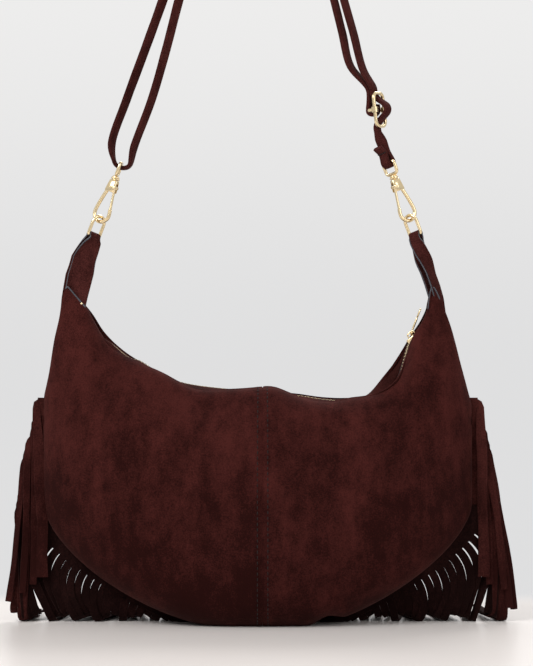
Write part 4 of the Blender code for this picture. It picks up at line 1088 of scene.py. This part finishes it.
def header_skin(places, hand):
    """The uncut strip that the strands hang from, tucked into the seam."""
    rings = []
    start, end = places[0] - STRAND_PITCH / 2, places[-1] + STRAND_PITCH / 2
    steps = 2 * len(places)
    for i in range(steps + 1):
        seam, along = seam_at(mix(max(0.0, start), end, i / steps))
        outward = Vector((along.z, 0, -along.x)).normalized()
        ring = []
        edge = header_reach(seam.z)
        for reach, y in (
            (-2.5 * MM, -0.5), (-2.5 * MM, 0.5), (edge - 0.2 * MM, 0.5), (edge, 0),
            (edge - 0.2 * MM, -0.5)
        ):
            spot = seam + outward * reach + Vector((0, y * STRAND, 0))
            spot.x *= -hand
            spot.x -= slump(spot.x, seam.z)
            spot.z = max(spot.z, 0.05 * MM)
            ring.append(spot)
        rings.append(ring if hand < 0 else list(reversed(ring)))
    return skin(rings)


total = SEAM_LENGTHS[-1]
count = int(total / STRAND_PITCH)
places = [total - STRAND_PITCH * (count - i - 0.5) for i in range(count)]
free = sum(1 for d in places if seam_at(d)[0].z > STRAND_LENGTH)
combs = {"side": [], "corner": [], "bottom": []}
for i, distance in enumerate(places):
    z, x = seam_at(distance)[0].z, seam_at(distance)[0].x
    combs[
        "side" if z > CORNER_HEIGHT else "corner" if abs(x) > BOTTOM_HALF else "bottom"
    ].append((i, distance))
fringe_suede = suede_finish("fringe_suede", (0.046, 0.0108, 0.0090), nap=0.8)
# Painted shade: a much darker copy of the fringe suede for the strands at the lower corners and under the bag,
# which lie in the bag's own shade.
painted_shade_fringe_suede = suede_finish("fringe_suede_with_painted_shade", (0.015, 0.0044, 0.0038), nap=0.8)
bottom_parts = []
for hand, name in ((-1, "left"), (1, "right")):
    for stretch, strands in combs.items():
        parts = [strand_skin(i, d, hand, free) for i, d in strands]
        parts.append(header_skin([d for _, d in strands], hand))
        if stretch == "bottom":
            bottom_parts += parts
            continue
        suede = painted_shade_fringe_suede if stretch == "corner" else fringe_suede
        fringe = skinned(f"{name}_{stretch}_fringe", parts, suede)
        hand_over(fringe, "bag", "suede", f"fringe_{name}_{stretch}")
fringe = skinned("bottom_fringe", bottom_parts, painted_shade_fringe_suede)
hand_over(fringe, "bag", "suede", "fringe_bottom")


# The tabs and rings: a strip of suede with painted edges is folded over a ring's straight bar, and
# both its ends are sewn into the top corner of the bag. The ring is cast and polished gold.
TAB = 1.5 * MM
TAB_NECK = 11.4 * MM
RING_WIRE = 3.0 * MM
RING_CORNER = 2.2 * MM
RING_WIDTH = 16 * MM
RING_HEIGHT = 21.5 * MM
RING_YAW = math.radians(-42)
RING_TILT = math.radians(21)
RING_BARS = {-1: Vector((-152.3 * MM, 0, 347.4 * MM)), 1: Vector((137.8 * MM, 0, 348.4 * MM))}
HAND_NAMES = {-1: "left", 1: "right"}
# The tab's middle line from its sewn end up to the ring: across, height, width and turn of each place
TAB_ROUTES = {
    -1: (
        (-176, 258, 12, 0), (-170.5, 276, 19, 0), (-168, 292, 21.5, -4), (-163.5, 313, 24, -10),
        (-159.5, 329, 22, -24), (-153.5, 342, 15, -38), (-152.4, 346.5, 11.4, -42)
    ),
    1: (
        (163, 258, 9, 30), (160, 276, 10, 38), (158, 291, 11, 45), (154.5, 303, 12, 48),
        (150.5, 314, 12, 48), (146, 327, 12, 46), (139.5, 342, 12, 43), (138, 346.5, 11.4, 42)
    ),
}
tab_suede = suede_finish("tab_suede", (0.048, 0.0115, 0.0098), nap=0.8)
edge_paint = flat_finish("slate_edge_paint", (0.045, 0.047, 0.058), 0.5)


# How far the back layer shows beside the front one
TAB_PEEK = {-1: 2.4 * MM, 1: 3.8 * MM}


def stood(place, tilt=0.0, yaw=0.0):
    """Leaning by the tilt in the picture's plane, turned by the yaw about that lean."""
    return Matrix.Translation(place) @ Matrix.Rotation(tilt, 4, "Y") @ Matrix.Rotation(yaw, 4, "Z")


def ring_line():
    width, height = RING_WIDTH - RING_WIRE, RING_HEIGHT - RING_WIRE
    line = []
    for side, start in ((1, -90), (-1, 180)):
        for i in range(7):
            a = math.radians(start + 90 * i / 6)
            line.append(
                Vector(
                    (
                        side * (width / 2 - RING_CORNER) + math.cos(a) * RING_CORNER, 0,
                        RING_CORNER + math.sin(a) * RING_CORNER
                    )
                )
            )
        if side == 1:
            for i in range(19):
                a = math.pi * i / 18
                line.append(
                    Vector((width / 2 * math.cos(a), 0, height - width / 2 + width / 2 * math.sin(a)))
                )
    return line


def tab_row(centre, offset, rise, turn, width):
    middle = centre + turn @ Vector((0, offset, rise))
    half = turn @ Vector((width / 2, 0, 0))
    bow = turn @ Vector((0, math.copysign(0.35 * MM, offset), 0))
    return [middle + half * k + bow * (1 - k * k) for k in (-1, -0.85, -0.5, 0, 0.5, 0.85, 1)]


for hand in (-1, 1):
    bar = RING_BARS[hand]
    pivot = stood(bar, -hand * RING_TILT, RING_YAW * hand)
    ring = skinned(
        f"ring_{HAND_NAMES[hand]}_polished", moved(pivot, [tube(ring_line(), RING_WIRE / 2, 18, True)]),
        gold_finish(f"ring_{HAND_NAMES[hand]}_gold")
    )
    hand_over(ring, f"ring_{HAND_NAMES[hand]}", "gold", f"ring_{HAND_NAMES[hand]}")
    turned = pivot.to_quaternion()
    around = RING_WIRE / 2 + GAP + TAB / 2
    route = TAB_ROUTES[hand]
    leg = []
    for i in range(31):
        share = i / 30 * (len(route) - 1)
        k = min(int(share), len(route) - 2)
        x, z, width, yaw = (
            mix(a, b, smooth(share - k) * 0.4 + (share - k) * 0.6) for a, b in zip(route[k], route[k + 1])
        )
        near = smooth((i / 30 - 0.55) / 0.4)
        offset = mix(TAB / 2 + GAP, around, near)
        turn = Quaternion((0, 0, 1), math.radians(yaw)).slerp(turned, near)
        leg.append((Vector((x * MM, 0, z * MM)), offset, turn, width * MM))
    rows = [tab_row(centre, -offset, 0, turn, width) for centre, offset, turn, width in leg]
    for angle in range(0, 181, 15):
        sway, rise = -around * math.cos(math.radians(angle)), around * math.sin(math.radians(angle))
        rows.append(tab_row(bar, sway, rise, turned, TAB_NECK))
    for i, (centre, offset, turn, width) in enumerate(reversed(leg)):
        peek = Vector((TAB_PEEK[hand] * smooth(i / 12), 0, 0))
        rows.append(tab_row(centre - peek, offset, 0, turn, width))
    tab = grid_object(f"tab_{HAND_NAMES[hand]}_folded", rows, tab_suede, edge_paint)
    thickened(tab, TAB, 1)
    painted = [row[0] + turned @ Vector((0.1 * MM, -0.75 * MM, 0)) for row in rows[4:31]]
    front_edge = skinned(f"tab_{HAND_NAMES[hand]}_front_edge", [tube(painted, 0.6 * MM, 8)], edge_paint)
    hand_over(front_edge, "bag", "suede")
    hand_over(tab, "bag", "suede", f"tab_{HAND_NAMES[hand]}")


# How much of the ear's rim and of its outer side shows its painted edge
EAR_PAINT = {-1: (0.93, 0.95), 1: (0.978, 0.87)}
for hand in (-1, 1):
    name = f"ear_edge_paint_{HAND_NAMES[hand]}"
    along_rim, down_side = EAR_PAINT[hand]
    edge = [body_point(mix(along_rim, 1.0, i / 12), 1.0, -1, hand) for i in range(13)]
    edge += [body_point(1.0, mix(0.995, down_side, i / 8), -1, hand) for i in range(1, 9)]
    line = tube([spot + Vector((0, -0.7 * MM, 0.2 * MM)) for spot in edge], 0.75 * MM, 8)
    hand_over(skinned(name, [line], edge_paint), "bag", "suede")
stud_place = Matrix.Translation(body_point(0.945, 1.0, -1, -1) + Vector((0, -1.2 * MM, -0.5 * MM)))
dome = lathe_points(
    [(r * MM, z * MM) for r, z in ((0.1, 1.3), (0.7, 1.1), (1.2, 0.5), (1.35, 0), (1.35, -0.8), (0.1, -0.8))],
    18
)
stud = moved(stud_place @ Matrix.Rotation(math.radians(90), 4, "X"), [skin(list(reversed(dome)))])
hand_over(skinned("zip_end_stud", stud, gold_finish("stud_gold")), "bag", "gold")


# The snap hooks: a cast eye whose post turns in the block, a bowed leg that runs round to meet the
# gate, and the gate itself on a rivet. All are polished and plated after casting.
HOOK_WIRE = 3.4 * MM
HOOK_YAW = math.radians(27)
HOOK_LENGTH = 33 * MM
OPEN_PIVOT_GAP = 1.2 * MM
HOOK_HALF_WIDTH = 7.8 * MM
GATE_SPLIT = 20 * MM
BLOCK = ((-4.6, 5.25), (-3.8, 5.25), (5.7, 3.9), (6.5, 3.5))
RIVET_OFFSET = 3.0 * MM
EYE_WIRE = 3.0 * MM
EYE_CORNER = 3.2 * MM
EYE_WIDTH = 16.5 * MM
EYE_HEIGHT = 14.5 * MM
EYE_BAR = 6.5 * MM + 3.4 * MM + GAP + EYE_HEIGHT - EYE_WIRE * 0.6
EYE_YAW = {-1: math.radians(88), 1: math.radians(-46)}
HOOK_TO_RING = HOOK_LENGTH - HOOK_WIRE / 2 - RING_WIRE / 2 - OPEN_PIVOT_GAP


def squared_line(width, height, corner, base, steps=6):
    line = []
    for sx, sz, start in ((1, 0, -90), (1, 1, 0), (-1, 1, 90), (-1, 0, 180)):
        for i in range(steps + 1):
            a = math.radians(start + 90 * i / steps)
            z = base + (height - corner if sz else corner)
            line.append(
                Vector((sx * (width / 2 - corner) + math.cos(a) * corner, 0, z + math.sin(a) * corner))
            )
    return line


def rounded_line(points, steps=7):
    """A smooth curve through points, a Catmull-Rom spline."""
    line = []
    for i in range(len(points) - 1):
        a, b = points[max(0, i - 1)], points[i]
        c, d = points[i + 1], points[min(len(points) - 1, i + 2)]
        for k in range(steps):
            t = k / steps
            line.append(
                (b * 2 + (c - a) * t + (a * 2 - b * 5 + c * 4 - d) * t**2 + (b * 3 - a - c * 3 + d) * t**3) * 0.5
            )
    return line + [points[-1]]


def cut_out(obj, cutter):
    cut = obj.modifiers.new("cut", "BOOLEAN")
    cut.operation = "DIFFERENCE"
    cut.object = cutter
    cut.solver = "EXACT"
    settled(obj)
    bpy.data.objects.remove(cutter)


def joined(name, objects):
    with bpy.context.temp_override(active_object=objects[0], selected_editable_objects=objects):
        bpy.ops.object.join()
    objects[0].name = name
    return objects[0]


for hand in (-1, 1):
    side_name = HAND_NAMES[hand]
    metal = gold_finish(f"hook_{side_name}_gold")
    tilt = -hand * RING_TILT
    up = Vector((-hand * math.sin(RING_TILT), 0, math.cos(RING_TILT)))
    origin = RING_BARS[hand] + up * (RING_HEIGHT - RING_WIRE + HOOK_TO_RING)
    eye_base = EYE_BAR - (EYE_HEIGHT - EYE_WIRE)
    loop = squared_line(EYE_WIDTH - EYE_WIRE, EYE_HEIGHT - EYE_WIRE, EYE_CORNER, eye_base)
    steps_of_collar = [
        (0.2, 6.85), (3.4, 6.85), (4.1, 7.3), (4.1, 8.3), (3.75, 8.5), (3.75, 8.7), (3.3, 8.9),
        (3.3, 9.6), (2.9, 10.2), (1.9, 10.6), (0.2, 10.7)
    ]
    collar = skin(lathe_points([(r * MM, z * MM) for r, z in steps_of_collar], 24))
    post = skin(
        lathe_points(
            [
                (r * MM, z * MM) for r,
                z in ((0.2, 2.75), (2.05, 2.75), (2.05, 3.65), (1.35, 3.7), (1.35, 7.0), (0.2, 7.0))
            ],
            16
        )
    )
    eye = skinned(
        f"eye_{side_name}",
        moved(stood(origin, tilt, EYE_YAW[hand]), [tube(loop, EYE_WIRE / 2, 16, True), collar, post]),
        metal
    )
    hand_over(eye, "bag", "gold", f"hook_{side_name}_eye")

    swivel = stood(origin, tilt, HOOK_YAW * hand)
    half = HOOK_HALF_WIDTH
    leg = [
        (3.0, -2.0), (4.4, -6.5), (half * 0.86 / MM, -HOOK_LENGTH * 0.5 / MM),
        (half / MM, -HOOK_LENGTH * 0.72 / MM)
    ]
    leg += [
        (half * k / MM, -HOOK_LENGTH * d / MM) for k,
        d in ((0.93, 0.85), (0.62, 0.95), (0.22, 1), (-0.22, 1), (-0.62, 0.95), (-0.93, 0.85), (-0.95, 0.74))
    ]
    leg.append((-half * 0.84 / MM, -(GATE_SPLIT + GAP) / MM))
    wire_line = rounded_line([Vector((hand * x * MM, 0, z * MM)) for x, z in leg])
    leg_parts = moved(swivel, [tube(wire_line, HOOK_WIRE / 2, 18)])
    rings = []
    for z, half_width in BLOCK:
        y, w = (2.8 if -4 < z < 6 else 2.2) * MM, half_width * MM
        soft = 0.7 * MM
        ring = [
            (w - soft, -y), (w, -y + soft), (w, y - soft), (w - soft, y), (-w + soft, y), (-w, y - soft),
            (-w, -y + soft), (-w + soft, -y)
        ]
        rings.append([Vector((a, b, z * MM)) for a, b in ring])
    block = skinned("block", moved(swivel, [skin(rings)]), metal)
    slot_x = sorted((-hand * 9 * MM, hand * 0.6 * MM))
    slot = [(slot_x[0], -1.5 * MM), (slot_x[1], -1.5 * MM), (slot_x[1], 1.5 * MM), (slot_x[0], 1.5 * MM)]
    cut_out(block, skinned("slot", moved(swivel, [prism(slot, -6 * MM, 3.9 * MM)])))
    leg_object = skinned("leg", leg_parts, metal)
    hook = joined(f"hook_{side_name}_cast", [block, leg_object])
    hook.data.set_sharp_from_angle(angle=math.radians(42))
    hand_over(hook, f"hook_{side_name}", "gold", f"hook_{side_name}_frame")

    hinge = swivel @ Matrix.Translation((-hand * RIVET_OFFSET, 0, 0))
    tip = Vector((-hand * (half * 0.84 - RIVET_OFFSET), 0, -GATE_SPLIT))
    arm = tube(
        [tip * k for k in (0.05, 0.3, 0.6, 0.85, 0.97, 1.0)],
        [1.15 * MM, 1.15 * MM, 1.15 * MM, 1.2 * MM, 1.3 * MM, 1.3 * MM], 14
    )
    across = Matrix.Rotation(math.radians(90), 4, "X")
    boss = skin(
        lathe_points(
            [
                (r * MM, z * MM) for r,
                z in ((1.45, -1.2), (1.85, -1.2), (2.1, -1.0), (2.1, 1.0), (1.85, 1.2), (1.45, 1.2))
            ],
            22
        ),
        True
    )
    gate = skinned(f"gate_{side_name}_sprung", moved(hinge, [arm]) + moved(hinge @ across, [boss]), metal)
    hand_over(gate, f"gate_{side_name}", "gold", f"hook_{side_name}_gate")
    head = [
        (0.05, -3.75), (1.0, -3.7), (1.7, -3.4), (1.9, -3.1), (1.1, -3.1), (1.1, 3.1), (1.9, 3.1),
        (1.7, 3.4), (1.0, 3.7), (0.05, 3.75)
    ]
    rivet = skinned(
        f"rivet_{side_name}",
        moved(hinge @ across, [skin(lathe_points([(r * MM, z * MM) for r, z in head], 20))]), metal
    )
    hand_over(rivet, f"hook_{side_name}", "gold", f"hook_{side_name}_rivet")


# The strap: one long strip of suede folded in two along its length and glued, 9 mm wide. It runs from
# its sewn end at the right hook up through the buckle, over, through the left hook and back.
STRAP_HALF = 4.9 * MM
STRAP_THICKNESS = 3.6 * MM
STRAP_BEND = 8.6 * MM
BUCKLE_WIRE = 3.2 * MM
BUCKLE_HEIGHT = 33 * MM
BUCKLE_WIDTH = 20 * MM
BUCKLE_CORNER = 5 * MM
CROSSBAR_OUT = 6.5 * MM
CROSSBAR_WIRE = 3.0 * MM
buckle_place = stood(Vector((105 * MM, 0, 461 * MM)), math.radians(-6), math.radians(58))


def eye_place(hand):
    up = Vector((-hand * math.sin(RING_TILT), 0, math.cos(RING_TILT)))
    origin = RING_BARS[hand] + up * (RING_HEIGHT - RING_WIRE + HOOK_TO_RING)
    return stood(origin, -hand * RING_TILT, EYE_YAW[hand])


def strap_route():
    """Points of the strap's middle line with the direction of its width, from its sewn end on."""
    right, left = eye_place(1), eye_place(-1)
    around = EYE_WIRE / 2 + GAP * 1.5 + STRAP_THICKNESS / 2
    beside = STRAP_THICKNESS / 2 + GAP
    route = []

    def add(where, points):
        width = where.to_3x3() @ Vector((1, 0, 0))
        for y, z in points:
            route.append((where @ Vector((0, y, z)), width))

    def add_free(points, yaw_from, yaw_to):
        for i, (x, z) in enumerate(points):
            yaw = math.radians(mix(yaw_from, yaw_to, i / max(1, len(points) - 1)))
            route.append((Vector((x * MM, 0, z * MM)), Vector((math.cos(yaw), math.sin(yaw), 0))))

    add(right, [(-beside * 3.1, EYE_BAR + 15 * MM), (-beside * 1.7, EYE_BAR + 11 * MM)])
    add(right, [(-beside, EYE_BAR + 8 * MM)])
    for angle in range(0, 181, 30):
        turn = math.radians(angle)
        add(right, [(-around * math.cos(turn), EYE_BAR - around * math.sin(turn))])
    add(right, [(beside, EYE_BAR + 8 * MM), (beside, EYE_BAR + 13 * MM)])
    out = BUCKLE_WIRE / 2 + GAP * 2 + STRAP_THICKNESS / 2
    end_bar = (BUCKLE_HEIGHT - BUCKLE_WIRE) / 2
    climb = [
        (out, -end_bar - 5 * MM),
        (out, -end_bar),
        (out * 0.45, -end_bar + 3.9 * MM),
        (-3.4 * MM, -6.6 * MM),
        (-7.2 * MM, -3.4 * MM),
        (-8.4 * MM, 0),
        (-7.2 * MM, 3.4 * MM),
        (-3.4 * MM, 6.6 * MM),
        (out * 0.45, end_bar - 3.9 * MM),
        (out, end_bar),
        (out, end_bar + 5 * MM),
    ]
    add(buckle_place, climb)
    add_free([(90.2, 497), (81.5, 530), (73, 560), (62, 600), (45, 640), (18, 672)], 56, 48)
    add_free([(-8, 682), (-35, 674), (-61, 645), (-76, 600), (-89.8, 560)], 48, 48)
    add_free([(-106, 515), (-122.6, 470), (-136, 430)], 50, 62)
    bottom = EYE_BAR - around - GAP
    for angle in range(30, 151, 30):
        turn = math.radians(angle)
        add(left, [(STRAP_BEND * math.cos(turn), bottom + STRAP_BEND * (1 - math.sin(turn)))])
    add_free([(-116, 427), (-100, 470), (-87, 515), (-75.4, 560)], 62, 50)
    add_free([(-64, 600), (-51, 634), (-30, 660), (-8, 669)], 48, 48)
    add_free([(12, 661), (36, 633), (53, 600), (64, 560), (71.5, 530), (79, 500)], 48, 56)
    wrap = CROSSBAR_WIRE / 2 + GAP + STRAP_THICKNESS / 2
    second = -out - STRAP_THICKNESS - GAP * 2
    add(buckle_place, [(-second, end_bar + 5 * MM), (-second, end_bar - 5 * MM)])
    for angle in range(0, 181, 30):
        turn = math.radians(angle)
        add(buckle_place, [(CROSSBAR_OUT + wrap * math.cos(turn), -wrap * math.sin(turn))])
    add(buckle_place, [(CROSSBAR_OUT - wrap, 5 * MM)])
    return route


def eased(a, b, c, d, share):
    """Centripetal Catmull-Rom, so that close points make no loop."""
    times = [0.0]
    for p, q in ((a, b), (b, c), (c, d)):
        times.append(times[-1] + max((q - p).length, 1e-6) ** 0.5)
    t = mix(times[1], times[2], share)

    def between(p, q, low, high):
        return p * ((high - t) / (high - low)) + q * ((t - low) / (high - low))

    ab = between(a, b, times[0], times[1])
    bc = between(b, c, times[1], times[2])
    cd = between(c, d, times[2], times[3])
    return between(
        between(ab, bc, times[0], times[2]), between(bc, cd, times[1], times[3]), times[1], times[2]
    )


route = strap_route()
line = []
for i in range(len(route) - 1):
    before, start = route[max(0, i - 1)], route[i]
    end, after = route[i + 1], route[min(len(route) - 1, i + 2)]
    steps = max(3, round((end[0] - start[0]).length / (3 * MM)))
    for k in range(steps):
        share = k / steps
        line.append(
            (eased(before[0], start[0], end[0], after[0], share), start[1].lerp(end[1], share).normalized())
        )
line.append(route[-1])
section = [
    (-1, -0.35), (-1.0, -0.1), (-0.93, 0), (-1.0, 0.1), (-1, 0.35), (-0.86, 0.62), (-0.5, 0.72),
    (0, 0.74), (0.5, 0.74), (0.88, 0.66), (1, 0.3), (1, -0.3), (0.88, -0.66), (0.5, -0.72), (0, -0.72),
    (-0.5, -0.70), (-0.86, -0.60)
]
rings = []
for i, (point, across) in enumerate(line):
    ahead = line[min(i + 1, len(line) - 1)][0] - line[max(i - 1, 0)][0]
    across = (across - ahead * across.dot(ahead) / ahead.dot(ahead)).normalized()
    thick = ahead.normalized().cross(across)
    crumple = 1 + 0.05 * noise.noise(point * 60)
    rings.append(
        [
            point + across * STRAP_HALF * a * crumple + thick * STRAP_THICKNESS / 2 * b * 1.45 for a,
            b in section
        ]
    )
strap_suede = suede_finish("strap_suede", (0.052, 0.0122, 0.0105), nap=0.9)
strap = skinned("folded_strap", [skin(rings)], strap_suede)
hand_over(strap, "bag", "suede", "strap")

cross_place = eye_place(1)
crossings = []
for z in (8.8, 10.1, 11.4):
    y = STRAP_THICKNESS + 0.95 * MM
    crossings.append(
        tube(
            [
                cross_place @ Vector(
                    (x * MM, -y * (1 if abs(x) < 4.4 else 0.8), EYE_BAR + z * MM)
                ) for x in (-4.9, -4.2, 0, 4.2, 4.9)
            ],
            0.38 * MM, 8
        )
    )
cross_stitch = skinned("strap_cross_stitch", crossings, thread)
hand_over(cross_stitch, "bag", "suede")


# The buckle: a polished oval frame with a bowed crossbar on collars, which sets the strap's length.
buckle_gold = gold_finish("buckle_gold")
width, height = BUCKLE_WIDTH - BUCKLE_WIRE, BUCKLE_HEIGHT - BUCKLE_WIRE
oval = squared_line(width, height, BUCKLE_CORNER, -height / 2, 8)
buckle = skinned("buckle_oval", moved(buckle_place, [tube(oval, BUCKLE_WIRE / 2, 18, True)]), buckle_gold)
hand_over(buckle, "bag", "gold", "buckle_frame")
half = width / 2
bowed = [
    Vector((x, y, 0)) for x,
    y in (
        (-half, 1.8 * MM), (-half, 3.6 * MM), (-half * 0.96, 5.5 * MM), (-half * 0.78, CROSSBAR_OUT),
        (0, CROSSBAR_OUT), (half * 0.78, CROSSBAR_OUT), (half * 0.96, 5.5 * MM), (half, 3.6 * MM),
        (half, 1.8 * MM)
    )
]
bar_parts = [tube(rounded_line(bowed, 4), CROSSBAR_WIRE / 2, 16)]
for side in (-1, 1):
    profile = [(1.9, -2.5), (2.7, -2.5), (3.0, -2.2), (3.0, 2.2), (2.7, 2.5), (1.9, 2.5)]
    turned_collar = skin(lathe_points([(r * MM, z * MM) for r, z in profile], 22), True)
    bar_parts += moved(Matrix.Translation((side * half, 0, 0)), [turned_collar])
crossbar = skinned("buckle_bar", moved(buckle_place, bar_parts), buckle_gold)
hand_over(crossbar, "bag", "gold", "buckle_crossbar")
